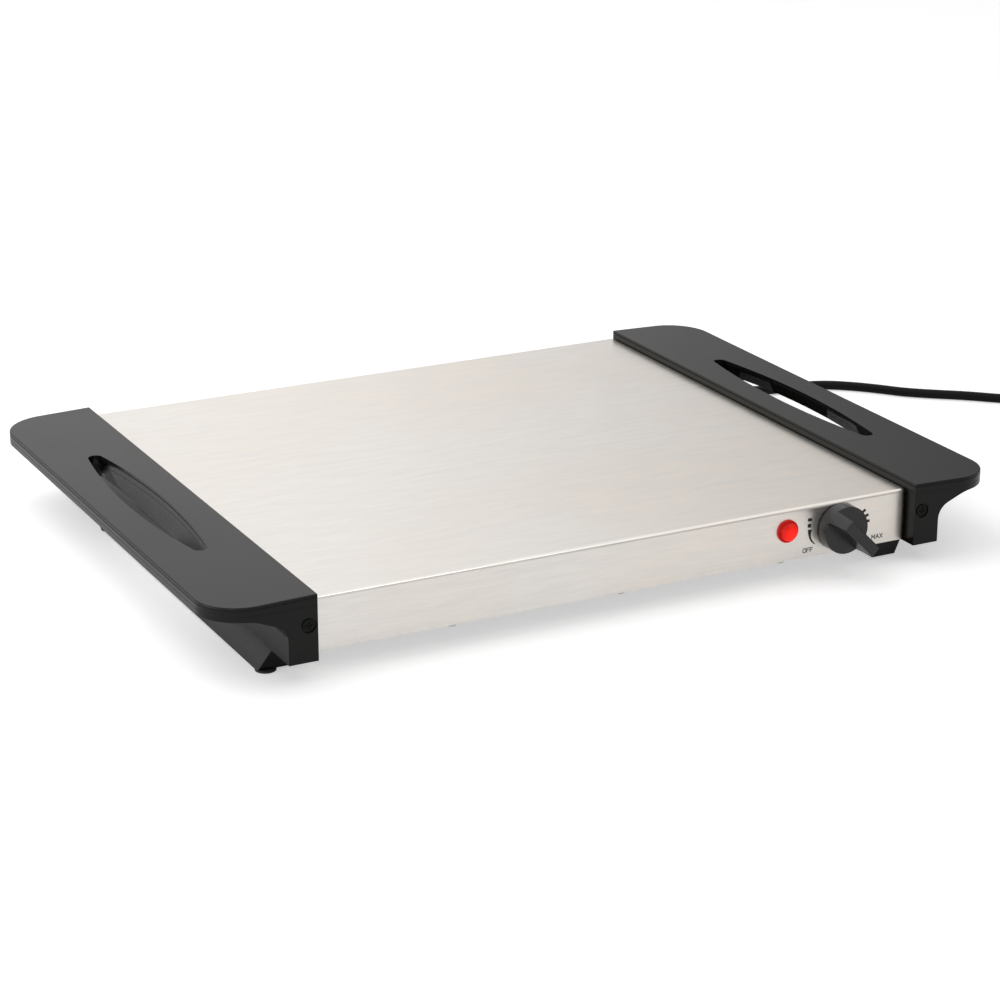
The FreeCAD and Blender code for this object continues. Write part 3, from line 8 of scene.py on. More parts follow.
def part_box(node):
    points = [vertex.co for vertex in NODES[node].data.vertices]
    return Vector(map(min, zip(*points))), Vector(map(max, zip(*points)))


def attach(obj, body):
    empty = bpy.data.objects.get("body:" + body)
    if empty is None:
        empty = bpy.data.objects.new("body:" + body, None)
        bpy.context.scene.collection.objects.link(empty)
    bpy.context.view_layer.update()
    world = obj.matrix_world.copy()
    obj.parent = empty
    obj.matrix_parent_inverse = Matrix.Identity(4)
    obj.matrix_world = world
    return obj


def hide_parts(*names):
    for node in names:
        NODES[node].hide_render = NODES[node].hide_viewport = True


bl_info = {
    "name": "Warming Tray",
    "version": (1, 0, 0),
    "blender": (4, 5, 0),
    "location": "View3D > Sidebar > Warming Tray",
    "description": "Finishes and details for an electric warming tray",
    "category": "Add Mesh",
}

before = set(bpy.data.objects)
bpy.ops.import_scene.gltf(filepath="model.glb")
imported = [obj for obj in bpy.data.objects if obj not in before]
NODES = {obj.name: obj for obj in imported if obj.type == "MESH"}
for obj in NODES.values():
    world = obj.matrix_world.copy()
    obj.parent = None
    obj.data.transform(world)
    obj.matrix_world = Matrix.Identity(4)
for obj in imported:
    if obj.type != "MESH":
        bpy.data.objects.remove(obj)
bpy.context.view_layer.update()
MM = 0.001
TRAY = "tray"
CONTROL = "control"
LAMP_X, LAMP_Z = 102.1 * MM, 30.0 * MM
SKIRT_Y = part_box("top_pan")[0].y
MIDDLE_Y = (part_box("handle_right")[0].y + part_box("handle_right")[1].y) / 2


# Arithmetic on the outputs of shader nodes

# The sockets that a Mix node has for colours: its share, its two colours and its result
MIX_SHARE, MIX_FIRST, MIX_SECOND, MIX_RESULT = 0, 6, 7, 2


class Wire:
    """One output of a material's nodes; sums and products add Math nodes."""

    def __init__(self, tree, socket):
        self.tree = tree
        self.socket = socket

    def maths(self, operation, first, second=None):
        node = self.tree.nodes.new("ShaderNodeMath")
        node.operation = operation
        for slot, value in enumerate((first, second)):
            if isinstance(value, Wire):
                self.tree.links.new(value.socket, node.inputs[slot])
            elif value is not None:
                node.inputs[slot].default_value = value
        return Wire(self.tree, node.outputs[0])

    def __add__(self, other):
        return self.maths("ADD", self, other)

    def __radd__(self, other):
        return self.maths("ADD", other, self)

    def __sub__(self, other):
        return self.maths("SUBTRACT", self, other)

    def __rsub__(self, other):
        return self.maths("SUBTRACT", other, self)

    def __mul__(self, other):
        return self.maths("MULTIPLY", self, other)

    def __rmul__(self, other):
        return self.maths("MULTIPLY", other, self)

    def below(self, level):
        return self.maths("LESS_THAN", self, level)

    def size(self):
        return self.maths("ABSOLUTE", self)

    def root(self):
        return self.maths("SQRT", self)

    def clamped(self):
        made = self.maths("ADD", self, 0.0)
        made.socket.node.use_clamp = True
        return made


class Shading:
    """The nodes of a material or of the world."""

    def __init__(self, tree):
        self.tree = tree
        self.tree.nodes.clear()

    def node(self, kind, settings=None, inputs=None, output=0):
        """Add a node: its settings first, then the values or links of its sockets."""
        made = self.tree.nodes.new(kind)
        for name, value in (settings or {}).items():
            setattr(made, name, value)
        for name, value in (inputs or {}).items():
            if isinstance(value, Wire):
                self.tree.links.new(value.socket, made.inputs[name])
            else:
                made.inputs[name].default_value = value
        return Wire(self.tree, made.outputs[output])

    def axes(self, vector):
        """The X, Y and Z of a vector."""
        return [
            self.node("ShaderNodeSeparateXYZ", inputs={"Vector": vector}, output=axis)
            for axis in "XYZ"
        ]


class Finish(Shading):
    """A material under construction, with the nodes that make its surface."""

    def __init__(self, name):
        self.material = bpy.data.materials.new(name)
        self.material.use_nodes = True
        super().__init__(self.material.node_tree)
        self.out = self.tree.nodes.new("ShaderNodeOutputMaterial")

    def place(self):
        return self.node("ShaderNodeTexCoord", output="Object")

    def stretched(self, scale):
        return self.node("ShaderNodeMapping", inputs={"Vector": self.place(), "Scale": scale})

    def noise(self, scale, detail=3.0, roughness=0.55, stretch=(1, 1, 1)):
        where = self.stretched(stretch)
        return self.node(
            "ShaderNodeTexNoise",
            inputs={"Vector": where, "Scale": scale, "Detail": detail, "Roughness": roughness},
        )

    def cells(self, scale):
        """Distance to the middle of the nearest of many small cells."""
        return self.node(
            "ShaderNodeTexVoronoi",
            {"feature": "F1"},
            {"Vector": self.place(), "Scale": scale},
        )

    def blend(self, share, first, second):
        """A colour that goes from the first to the second as the share rises."""
        return self.node(
            "ShaderNodeMix",
            {"data_type": "RGBA"},
            {MIX_SHARE: share, MIX_FIRST: first, MIX_SECOND: second},
            MIX_RESULT,
        )

    def bump(self, height, strength, distance):
        return self.node(
            "ShaderNodeBump",
            inputs={"Height": height, "Strength": strength, "Distance": distance},
        )

    def surface(self, **sockets):
        """Close the material with a Principled shader; specular is its IOR level."""
        named = {key.replace("_", " ").title(): value for key, value in sockets.items()}
        if "Specular" in named:
            named["Specular IOR Level"] = named.pop("Specular")
        shader = self.node("ShaderNodeBsdfPrincipled", inputs=named)
        self.tree.links.new(shader.socket, self.out.inputs["Surface"])
        return self.material


def rgba(colour):
    return (colour[0], colour[1], colour[2], 1.0)


def darker(colour, share):
    return (colour[0] * share, colour[1] * share, colour[2] * share, 1.0)


# Finishes

# Brush marks to the metre along, across and up the tray
FINE_MARKS = (60, 1500, 1500)
BROAD_MARKS = (26, 240, 240)
MARK_TONE = 0.915


def brushed_steel(name, colour, warm, roughness=0.30):
    """Steel brushed along the tray's length, with faint warm clouds."""
    finish = Finish(name)
    fine = finish.noise(1.0, 3.0, 0.6, FINE_MARKS)
    broad = finish.noise(1.0, 3.0, 0.6, BROAD_MARKS)
    cloud = finish.noise(7.0, 2.0, 0.5)
    grain = fine * 0.6 + broad * 0.4
    tone = finish.blend((cloud * 3.6 - 1.4).clamped(), rgba(colour), rgba(warm))
    shade = finish.blend((grain * 4.0 - 1.45).clamped(), darker(colour, MARK_TONE), tone)
    return finish.surface(
        base_color=shade,
        metallic=1.0,
        roughness=grain * 0.12 + (roughness - 0.06),
        normal=finish.bump(fine, 0.06, 0.00004),
    )


SPARK_SCALE = 2300.0


def mould_texture(finish, grain):
    """The mould's fine spark texture, and where the plastic is faintly scuffed."""
    spark = finish.noise(grain, 2.0, 0.5)
    scuff = finish.noise(26.0, 5.0, 0.62, (1, 0.35, 1))
    return spark, (scuff * 3.0 - 1.5).clamped()


def moulded_black(name, colour, grain=SPARK_SCALE, gloss=0.42, shine=0.24):
    """Moulded plastic with a fine spark texture and faint scuffs."""
    finish = Finish(name)
    spark, mark = mould_texture(finish, grain)
    shade = finish.blend(mark * 0.5, rgba(colour), darker(colour, 1.55))
    return finish.surface(
        base_color=shade,
        roughness=mark * 0.12 + spark * 0.10 + gloss,
        specular=shine,
        normal=finish.bump(spark, 0.16, 0.00012),
    )


def plain_metal(name, colour, roughness=0.3, scale=420.0):
    """Plated or rolled metal with fine rolling marks."""
    finish = Finish(name)
    roll = finish.noise(1.0, 3.0, 0.6, (scale, scale * 0.2, scale))
    patch = finish.noise(60.0, 2.0)
    shade = finish.blend((patch * 1.4 - 0.2).clamped(), darker(colour, 0.88), rgba(colour))
    return finish.surface(
        base_color=shade,
        metallic=1.0,
        roughness=roll * 0.18 + roughness - 0.06,
        normal=finish.bump(roll, 0.12, 0.00004),
    )


def plain_solid(name, colour, roughness=0.5, scale=900.0, depth=0.00008, shine=0.5):
    """Rubber, resin, fibre or ceramic with a fine mottled surface."""
    finish = Finish(name)
    grain = finish.noise(scale, 3.0, 0.6)
    patch = finish.noise(scale * 0.06, 3.0, 0.6)
    shade = finish.blend((patch * 1.6 - 0.3).clamped(), darker(colour, 0.8), rgba(colour))
    return finish.surface(
        base_color=shade,
        roughness=grain * 0.14 + roughness - 0.07,
        specular=shine,
        normal=finish.bump(grain, 0.3, depth),
    )


def woven_fibre(name, colour):
    """Pressed mineral fibre with loose strands."""
    finish = Finish(name)
    strand = finish.noise(1.0, 5.0, 0.7, (160, 900, 900))
    height = strand * 0.7 + finish.cells(700.0) * 0.3
    shade = finish.blend((height * 1.5 - 0.2).clamped(), darker(colour, 0.62), rgba(colour))
    return finish.surface(
        base_color=shade, roughness=0.95, normal=finish.bump(height, 0.7, 0.0006)
    )


# The lens's brightest point, and the groove round its dome, which is painted darker as shade
LENS_GLOW = (LAMP_X + 0.9 * MM, SKIRT_Y - 3.4 * MM, LAMP_Z - 1.3 * MM)
LENS_FADE = 190.0
LENS_SEAM_SHADE_RADIUS = 5.45 * MM
LENS_SEAM_SHADE_WIDTH = 0.45 * MM


def red_lens(name, colour, glow):
    """Clear red plastic over a lit neon lamp; its base colour is painted lighter where the glow
    is bright and darker away from it, with painted shade in the groove round the dome.
    """
    finish = Finish(name)
    spot = finish.node(
        "ShaderNodeVectorMath",
        {"operation": "SUBTRACT"},
        {0: finish.place(), 1: LENS_GLOW},
    )
    reach = finish.node("ShaderNodeVectorMath", {"operation": "LENGTH"}, {0: spot}, "Value")
    across, _, high = finish.axes(finish.place())
    width = across - LAMP_X
    height = high - LAMP_Z
    radius = (width * width + height * height).root()
    # Painted shade: the glow and the base colour are darker in the groove round the dome
    seam_shade = (radius - LENS_SEAM_SHADE_RADIUS).size().below(LENS_SEAM_SHADE_WIDTH)
    core = (1.45 - reach * LENS_FADE - seam_shade * 1.1).clamped()
    facet = finish.cells(620.0)
    lit = (core - facet * 0.22).clamped()
    # Painted light: the base colour is lighter where the lamp's glow is bright and darker away
    # from it
    shade = finish.blend(lit, darker(colour, 0.28), rgba(colour))
    return finish.surface(
        base_color=shade,
        roughness=0.25 + facet * 0.1,
        specular=0.14,
        emission_color=finish.blend(lit, darker(glow, 0.32), rgba(glow)),
        emission_strength=1.05,
        normal=finish.bump(facet, 0.25, 0.0003),
    )


# Making and placing pieces

def finished(piece, finish, body=TRAY):
    """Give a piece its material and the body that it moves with."""
    piece.data.materials.clear()
    piece.data.materials.append(finish)
    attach(piece, body)
    return piece


def dress(node, finish):
    """Give a CAD node its material."""
    piece = NODES[node]
    piece.data.materials.clear()
    piece.data.materials.append(finish)


def piece_from(bm, name):
    """Make a bmesh an object of the scene."""
    mesh = bpy.data.meshes.new(name)
    bm.to_mesh(mesh)
    bm.free()
    piece = bpy.data.objects.new(name, mesh)
    bpy.context.scene.collection.objects.link(piece)
    return piece


MERGE_REACH = 2e-6
FLAT_ANGLE = math.radians(0.6)
SHARP_ANGLE = math.radians(38)


def smooth(piece, angle=SHARP_ANGLE):
    """Shade a piece smoothly, with its flat faces left flat."""
    piece.data.shade_smooth()
    piece.data.set_sharp_from_angle(angle=angle)
    even = piece.modifiers.new("even_shading", "WEIGHTED_NORMAL")
    even.keep_sharp = True
    return piece


def within(point, corners):
    """Whether a point is in the box between two corners, with its X taken as a distance."""
    if corners is None:
        return False
    place = (abs(point.x), point.y, point.z)
    return all(low < value < high for low, value, high in zip(corners[0], place, corners[1]))


def softened(node, name, width, segments=3, least=32, spared=None):
    """A copy of a CAD node with its sharp edges rounded, as a mould leaves them.

    Edges that turn by more than the least angle, in degrees, are rounded. An edge whose
    middle is in the spared box, given by two corners, stays as it is.
    """
    bm = bmesh.new()
    bm.from_mesh(NODES[node].data)
    bmesh.ops.remove_doubles(bm, verts=bm.verts[:], dist=MERGE_REACH)
    bmesh.ops.dissolve_limit(
        bm, angle_limit=FLAT_ANGLE, verts=bm.verts[:], edges=bm.edges[:]
    )
    sharp = [
        edge
        for edge in bm.edges
        if edge.is_manifold and edge.calc_face_angle(0.0) > math.radians(least)
        and not within((edge.verts[0].co + edge.verts[1].co) / 2, spared)
    ]
    bmesh.ops.bevel(
        bm,
        geom=sharp,
        offset=width,
        offset_type="OFFSET",
        segments=segments,
        profile=0.5,
        affect="EDGES",
        material=-1,
        clamp_overlap=True,
    )
    return smooth(piece_from(bm, name))


def remade(node, name, finish, width, segments=3, least=32, body=TRAY, spared=None):
    """Put a copy with rounded edges, as softened() makes it, in a CAD node's place."""
    piece = finished(softened(node, name, width, segments, least, spared), finish, body)
    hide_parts(node)
    return piece


def turned(name, profile, centre, steps=72):
    """A piece turned about the line through centre that runs front to back.

    The profile gives radius and distance to the front of the skirt for each corner.
    """
    bm = bmesh.new()
    corners = [bm.verts.new((radius, -ahead, 0)) for radius, ahead in profile]
    rim = [bm.edges.new(pair) for pair in zip(corners, corners[1:])]
    bmesh.ops.spin(
        bm,
        geom=corners + rim,
        cent=(0, 0, 0),
        axis=(0, 1, 0),
        angle=math.tau,
        steps=steps,
        use_merge=True,
    )
    bmesh.ops.remove_doubles(bm, verts=bm.verts[:], dist=1e-6)
    bmesh.ops.recalc_face_normals(bm, faces=bm.faces[:])
    bmesh.ops.translate(bm, verts=bm.verts[:], vec=(centre[0], SKIRT_Y, centre[1]))
    return smooth(piece_from(bm, name))


PRINT_PROUD = 0.04 * MM
PRINT_THICK = 0.05 * MM


def painted(bm, corners):
    """One thin printed patch on the skirt, given in millimetres by its corners in X and Z."""
    verts = [bm.verts.new((x * MM, SKIRT_Y - PRINT_PROUD, z * MM)) for x, z in corners]
    face = bm.faces.new(verts)
    raised = bmesh.ops.extrude_face_region(bm, geom=[face])
    moved = [item for item in raised["geom"] if isinstance(item, bmesh.types.BMVert)]
    bmesh.ops.translate(bm, verts=moved, vec=(0, PRINT_THICK, 0))


# Strokes of the dial's capitals, in parts of their height
LETTERS = {
    "O": [[(0.2, 0), (0.6, 0), (0.8, 0.25), (0.8, 0.75), (0.6, 1), (0.2, 1), (0, 0.75),
           (0, 0.25), (0.2, 0)]],
    "F": [[(0, 0), (0, 1), (0.62, 1)], [(0, 0.52), (0.5, 0.52)]],
    "M": [[(0, 0), (0, 1), (0.42, 0.35), (0.84, 1), (0.84, 0)]],
    "A": [[(0, 0), (0.42, 1), (0.84, 0)], [(0.17, 0.35), (0.67, 0.35)]],
    "X": [[(0, 0), (0.75, 1)], [(0, 1), (0.75, 0)]],
}
LETTER_STROKE = 0.2
LETTER_SPACE = 0.3


def lettering(name, word, centre, height):
    """A word of flat print on the skirt; its centre and height are in millimetres."""
    widths = [max(x for line in LETTERS[letter] for x, z in line) for letter in word]
    length = sum(widths) + LETTER_SPACE * (len(word) - 1)
    bm = bmesh.new()
    start = -length / 2
    for letter, width in zip(word, widths):
        for line in LETTERS[letter]:
            for first, second in zip(line, line[1:]):
                ends = [Vector((start + x, z - 0.5)) for x, z in (first, second)]
                run = (ends[1] - ends[0]).normalized() * LETTER_STROKE / 2
                side = Vector((-run.y, run.x))
                corners = (ends[0] - run + side, ends[1] + run + side,
                           ends[1] + run - side, ends[0] - run - side)
                painted(bm, [Vector(centre) + corner * height for corner in corners])
        start += width + LETTER_SPACE
    bmesh.ops.recalc_face_normals(bm, faces=bm.faces[:])
    return piece_from(bm, name)


def facing(thing, place, direction):
    """Add a lamp or a camera to the scene, facing in a direction."""
    made = bpy.data.objects.new(thing.name, thing)
    made.location = place
    made.rotation_euler = Vector(direction).to_track_quat("-Z", "Y").to_euler()
    bpy.context.scene.collection.objects.link(made)
    return made


def softbox(name, place, aim, size, power, mirrored):
    """A white rectangle of light, which surfaces may mirror."""
    lamp = bpy.data.lights.new(name, "AREA")
    lamp.shape = "RECTANGLE"
    lamp.size, lamp.size_y = size
    lamp.energy = power
    made = facing(lamp, place, Vector(aim) - Vector(place))
    made.visible_glossy = mirrored


# Sizes and colours that can be changed

class WarmerLooks(bpy.types.PropertyGroup):
    steel: bpy.props.FloatVectorProperty(
        name="Steel", description="Colour of the brushed steel", subtype="COLOR",
        default=(0.91, 0.872, 0.828), min=0, max=1,
    )
    steel_warm: bpy.props.FloatVectorProperty(
        name="Steel clouds", description="Warm tint in the brushed steel", subtype="COLOR",
        default=(0.93, 0.850, 0.765), min=0, max=1,
    )
    moulding: bpy.props.FloatVectorProperty(
        name="Mouldings", description="Colour of the handles and feet", subtype="COLOR",
        default=(0.0052, 0.0052, 0.0045), min=0, max=1,
    )
    control: bpy.props.FloatVectorProperty(
        name="Control", description="Colour of the knob", subtype="COLOR",
        default=(0.013, 0.0125, 0.0125), min=0, max=1,
    )
    cord: bpy.props.FloatVectorProperty(
        name="Cord", description="Colour of the cord and plug", subtype="COLOR",
        default=(0.0045, 0.0045, 0.0045), min=0, max=1,
    )
    lens: bpy.props.FloatVectorProperty(
        name="Lens", description="Colour of the lamp's lens", subtype="COLOR",
        default=(0.55, 0.010, 0.008), min=0, max=1,
    )
    ink: bpy.props.FloatVectorProperty(
        name="Print", description="Colour of the dial's scale", subtype="COLOR",
        default=(0.012, 0.012, 0.012), min=0, max=1,
    )


class WarmerSizes(bpy.types.PropertyGroup):
    handle_edge: bpy.props.FloatProperty(
        name="Handle edges", description="Round on the handles' edges", default=0.5 * MM,
        unit="LENGTH",
    )
    knob_edge: bpy.props.FloatProperty(
        name="Knob edges", description="Round on the knob's edges", default=0.6 * MM,
        unit="LENGTH",
    )
    cord_width: bpy.props.FloatProperty(
        name="Cord width", description="Width of the mains flex", default=6.0 * MM,
        unit="LENGTH",
    )
    letter_height: bpy.props.FloatProperty(
        name="Letters", description="Height of the dial's words", default=2.3 * MM,
        unit="LENGTH",
    )
    blanket_grain: bpy.props.FloatProperty(
        name="Blanket grain", description="Size of the blanket's mesh", default=3.0 * MM,
        unit="LENGTH",
    )


class WarmerStage(bpy.types.PropertyGroup):
    sky: bpy.props.FloatProperty(
        name="Room light", description="Strength of the light from all round", default=0.62
    )
    key: bpy.props.FloatProperty(
        name="Main softbox", description="Power of the large softbox", default=16.0
    )
    side: bpy.props.FloatProperty(
        name="Side softbox", description="Power of the softbox on the left", default=8.0
    )
    fill: bpy.props.FloatProperty(
        name="Front softboxes", description="Power of the two small softboxes in front",
        default=1.0,
    )


def looks():
    return bpy.context.scene.warmer_looks


def sizes():
    return bpy.context.scene.warmer_sizes


# The stage

TABLE_REACH = 9.0
TABLE_TONES = ((0.76, 0.76, 0.76, 1), (0.78, 0.78, 0.78, 1))
TABLE_GLOW = (0.48, 0.48, 0.48, 1)
TABLE_MIRRORED = 0.32

# Softboxes: name, place, aim, size, the stage property with the power, and whether mirrored
KNOB_AREA = (0.13, -0.16, 0.03)
SOFTBOXES = [
    ("main_softbox", (-0.9, 0.5, 1.7), (0, 0, 0.02), (1.6, 1.6), "key", False),
    ("side_softbox", (-1.8, 0.1, 0.35), (-0.2, 0, 0.03), (1.1, 0.6), "side", True),
    ("high_softbox", (0.49, -1.04, 1.31), KNOB_AREA, (0.2, 0.14), "fill", True),
    ("low_softbox", (-1.15, -1.09, 0.2), KNOB_AREA, (0.2, 0.14), "fill", True),
]

CAMERA_PLACE = (-0.6918, -1.3632, 0.5618)
CAMERA_LOOK = (0.4288, 0.8384, -0.3366)
CAMERA_LENS = 101.27
CAMERA_SENSOR = 36.0

# How much the room brightens upwards, to the back and to the left, and its tone in the middle
ROOM_UP, ROOM_BACK, ROOM_LEFT, ROOM_MIDDLE = 1.9, 1.3, 0.9, 0.2
# The dim screen low on the right, which only reflections show
SCREEN_START, SCREEN_EDGE = 0.36, 4.2
SCREEN_TOP, SCREEN_FADE = 1.6, 2.6
SCREEN_DIM = 0.78
# The least share of the room's light in reflections and on the tray
MIRRORED_LEAST = 0.7
LIT_LEAST = 0.2


class WARMER_OT_stage(bpy.types.Operator):
    """Lay the pale table, light it and place the camera"""

    bl_idname = "warmer.stage"
    bl_label = "Table, light and camera"

    def execute(self, context):
        stage = context.scene.warmer_stage
        bm = bmesh.new()
        bmesh.ops.create_grid(bm, x_segments=8, y_segments=8, size=TABLE_REACH)
        table = piece_from(bm, "table")
        table.data.materials.append(table_top())
        light_room(context.scene, stage.sky)
        for name, place, aim, size, power, mirrored in SOFTBOXES:
            softbox(name, place, aim, size, getattr(stage, power), mirrored)
        camera = bpy.data.cameras.new("camera")
        camera.lens = CAMERA_LENS
        camera.sensor_width = CAMERA_SENSOR
        context.scene.camera = facing(camera, CAMERA_PLACE, CAMERA_LOOK)
        context.scene.view_settings.view_transform = "Standard"
        return {"FINISHED"}


def table_top():
    """A pale matt table that looks white to the camera and keeps its shadows."""
    finish = Finish("table_top")
    seen = finish.node("ShaderNodeLightPath", output="Is Camera Ray")
    mirrored = finish.node("ShaderNodeLightPath", output="Is Glossy Ray")
    through = finish.node("ShaderNodeLightPath", output="Is Transmission Ray")
    shown = seen + (mirrored + through).clamped() * TABLE_MIRRORED
    mottle = finish.noise(3.0, 2.0)
    shade = finish.blend(mottle, *TABLE_TONES)
    return finish.surface(
        base_color=shade,
        roughness=0.9,
        emission_color=finish.blend(shown, (0, 0, 0, 1), TABLE_GLOW),
        emission_strength=1.0,
    )


def light_room(scene, strength):
    """White all round where it is seen, and plain soft light on the tray."""
    world = bpy.data.worlds.new("room")
    world.use_nodes = True
    scene.world = world
    room = Shading(world.node_tree)
    seen = room.node("ShaderNodeLightPath", output="Is Camera Ray")
    mirrored = room.node("ShaderNodeLightPath", output="Is Glossy Ray")
    through = room.node("ShaderNodeLightPath", output="Is Transmission Ray")
    right, back, high = room.axes(room.node("ShaderNodeTexCoord", output="Generated"))
    bright = (high * ROOM_UP + back * ROOM_BACK - right * ROOM_LEFT + ROOM_MIDDLE).clamped()
    screen = ((right - SCREEN_START) * SCREEN_EDGE).clamped()
    screen *= (SCREEN_TOP - high * SCREEN_FADE).clamped()
    plain = (seen + through).clamped()
    glossy = mirrored * (1.0 - screen * SCREEN_DIM)
    glossy *= bright * (1 - MIRRORED_LEAST) + MIRRORED_LEAST
    lit = (1.0 - plain - mirrored).clamped()
    lit *= (bright * (1 - LIT_LEAST) + LIT_LEAST) * strength
    power = plain + glossy + lit
    background = room.node(
        "ShaderNodeBackground", inputs={"Color": (1, 1, 1, 1), "Strength": power}
    )
    out = room.tree.nodes.new("ShaderNodeOutputWorld")
    room.tree.links.new(background.socket, out.inputs["Surface"])


# The cord: its route on the table, in millimetres from the handles' middle

CORD_EXIT = (214.8, 130.0, 17.3)
CORD_ROUTE = [
    (225, 130, 17.3),
    (243, 130.5, 12.2),
    (259, 131.5, 5.4),
    (277, 132, 3.02),
    (296, 131.2, 3.02),
    (315, 126.5, 3.02),
    (330, 115.5, 3.02),
    (343, 102, 3.02),
    (354, 88, 3.02),
    (369, 75.5, 3.02),
    (385, 64, 3.02),
    (400, 50, 3.02),
    (417, 35, 3.02),
    (434.8, 19.9, 3.02),
]
COIL_ANGLE = 228.0
COIL_RADIUS = 42.3
COIL_PITCH = 6.8
COIL_LEAD = 6.0
# Each half turn's change of radius, in half pitches, and of height, in pitches
COIL_STEPS = [(-1, 0), (-1, 0), (-1, 0), (-1, 0), (-1, 1), (2, 0), (1, 0), (1, 0)]
COIL_CORNERS = 6
# How far the spline's turn is from the middle, for corners at a distance of 1
COIL_INSIDE = 0.9663
# The straight end from the coil to the plug: distance and height
CORD_END = [(6.0, 9.82), (46.0, 9.82), (68.0, 6.92), (80.0, 6.92)]


def route_points():
    """The cord's control points from the handle to the plug, in metres."""
    shift = Vector((0, MIDDLE_Y, 0))
    points = [Vector(point) * MM + shift for point in [CORD_EXIT] + CORD_ROUTE]
    angle = math.radians(COIL_ANGLE)
    outward = Vector((math.cos(angle), math.sin(angle), 0))
    heading = Vector((-math.sin(angle), math.cos(angle), 0))
    start = points[-1] + heading * COIL_LEAD * MM
    centre = start - outward * COIL_RADIUS * MM
    radius = COIL_RADIUS
    side = 1
    height = 0.0
    for grow, climb in COIL_STEPS:
        after = radius + grow * COIL_PITCH / 2
        middle = (radius + after) / 2
        offset = (radius - after) / 2
        for step in range(COIL_CORNERS):
            share = (step + 0.5) / COIL_CORNERS
            turn = math.pi * share
            reach = middle / COIL_INSIDE
            spot = centre + outward * side * (offset + reach * math.cos(turn)) * MM
            spot += heading * side * reach * math.sin(turn) * MM
            rise = height + climb * COIL_PITCH * share
            points.append(spot + Vector((0, 0, rise * MM)))
        radius = after
        side = -side
        height += climb * COIL_PITCH
    last = centre + outward * side * radius * MM
    for along, level in CORD_END:
        spot = last + heading * along * MM
        points.append(Vector((spot.x, spot.y, level * MM)))
    return points


class WARMER_OT_cord(bpy.types.Operator):
    """Lay the mains cord, its strain relief and its plug"""

    bl_idname = "warmer.cord"
    bl_label = "Cord and plug"

    def execute(self, context):
        width = sizes().cord_width
        flex = bpy.data.curves.new("mains_flex", "CURVE")
        flex.dimensions = "3D"
        points = route_points()
        spline = flex.splines.new("NURBS")
        spline.points.add(len(points) - 1)
        for control, point in zip(spline.points, points):
            control.co = (*point, 1.0)
        spline.order_u = 3
        spline.use_endpoint_u = True
        spline.resolution_u = 6
        flex.bevel_depth = width / 2
        flex.bevel_resolution = 7
        flex.use_fill_caps = True
        cord = bpy.data.objects.new("mains_flex", flex)
        context.scene.collection.objects.link(cord)
        sheath = plain_solid(
            "cord_sheath", looks().cord, roughness=0.46, scale=1500.0, depth=0.00005, shine=0.15
        )
        finished(cord, sheath)
        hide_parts("mains_cord", "cord_coil", "cord_end")

        plastic = moulded_black("plug_plastic", looks().cord, grain=1800.0, gloss=0.36)
        plug = remade("plug_body", "plug_moulding", plastic,
                      width=1.6 * MM, segments=4, least=40)
        nickel = plain_metal("pin_nickel", (0.66, 0.60, 0.48), roughness=0.2)
        pins = remade("plug_pins", "plug_contacts", nickel,
                      width=0.6 * MM, least=60)
        rubber = moulded_black("relief_rubber", looks().cord, grain=1500.0, gloss=0.5)
        remade("cord_strain_relief", "strain_relief", rubber,
               width=0.4 * MM, least=40)
        return {"FINISHED"}


# The tray

class WARMER_OT_steel(bpy.types.Operator):
    """Finish the steel top and its skirts"""

    bl_idname = "warmer.steel"
    bl_label = "Steel top"

    def execute(self, context):
        steel = brushed_steel("brushed_steel_top", looks().steel, looks().steel_warm)
        dress("top_pan", steel)
        return {"FINISHED"}


# The slot's inside under the wing's top, which keeps the edges of the CAD solid
SLOT_BELOW = ((0.192, -0.084, 0.002), (0.226, 0.100, 0.0445))


class WARMER_OT_handles(bpy.types.Operator):
    """Round the edges of the handles and feet and give them their moulded finish"""

    bl_idname = "warmer.handles"
    bl_label = "Handles and feet"

    def execute(self, context):
        plastic = handle_plastic("handle_plastic", looks().moulding)
        for node in ("handle_left", "handle_right"):
            remade(node, node + "_moulding", plastic,
                   width=sizes().handle_edge, least=25, spared=SLOT_BELOW)
        foot_plastic = moulded_black("foot_plastic", looks().moulding)
        for node in ("corner_foot_front", "corner_foot_rear"):
            remade(node, node + "_moulding", foot_plastic,
                   width=0.8 * MM, least=20)
        rubber = plain_solid("pad_rubber", (0.02, 0.02, 0.02), roughness=0.7, scale=1200.0)
        remade("foot_pads", "rubber_pads", rubber, width=0.3 * MM, least=40)
        return {"FINISHED"}


# The painted shade in the gap under the wing's top plate: its height at the middle of the tray,
# how much it falls to each metre outwards, and half its width. Then the painted shade in the
# groove lower on the rim.
PLATE_SHADE_HEIGHT, PLATE_FALL, PLATE_HALF = 50.2 * MM, 0.0268, 0.42 * MM
RIM_SHADE_HEIGHT, RIM_HALF = 41.2 * MM, 0.16 * MM


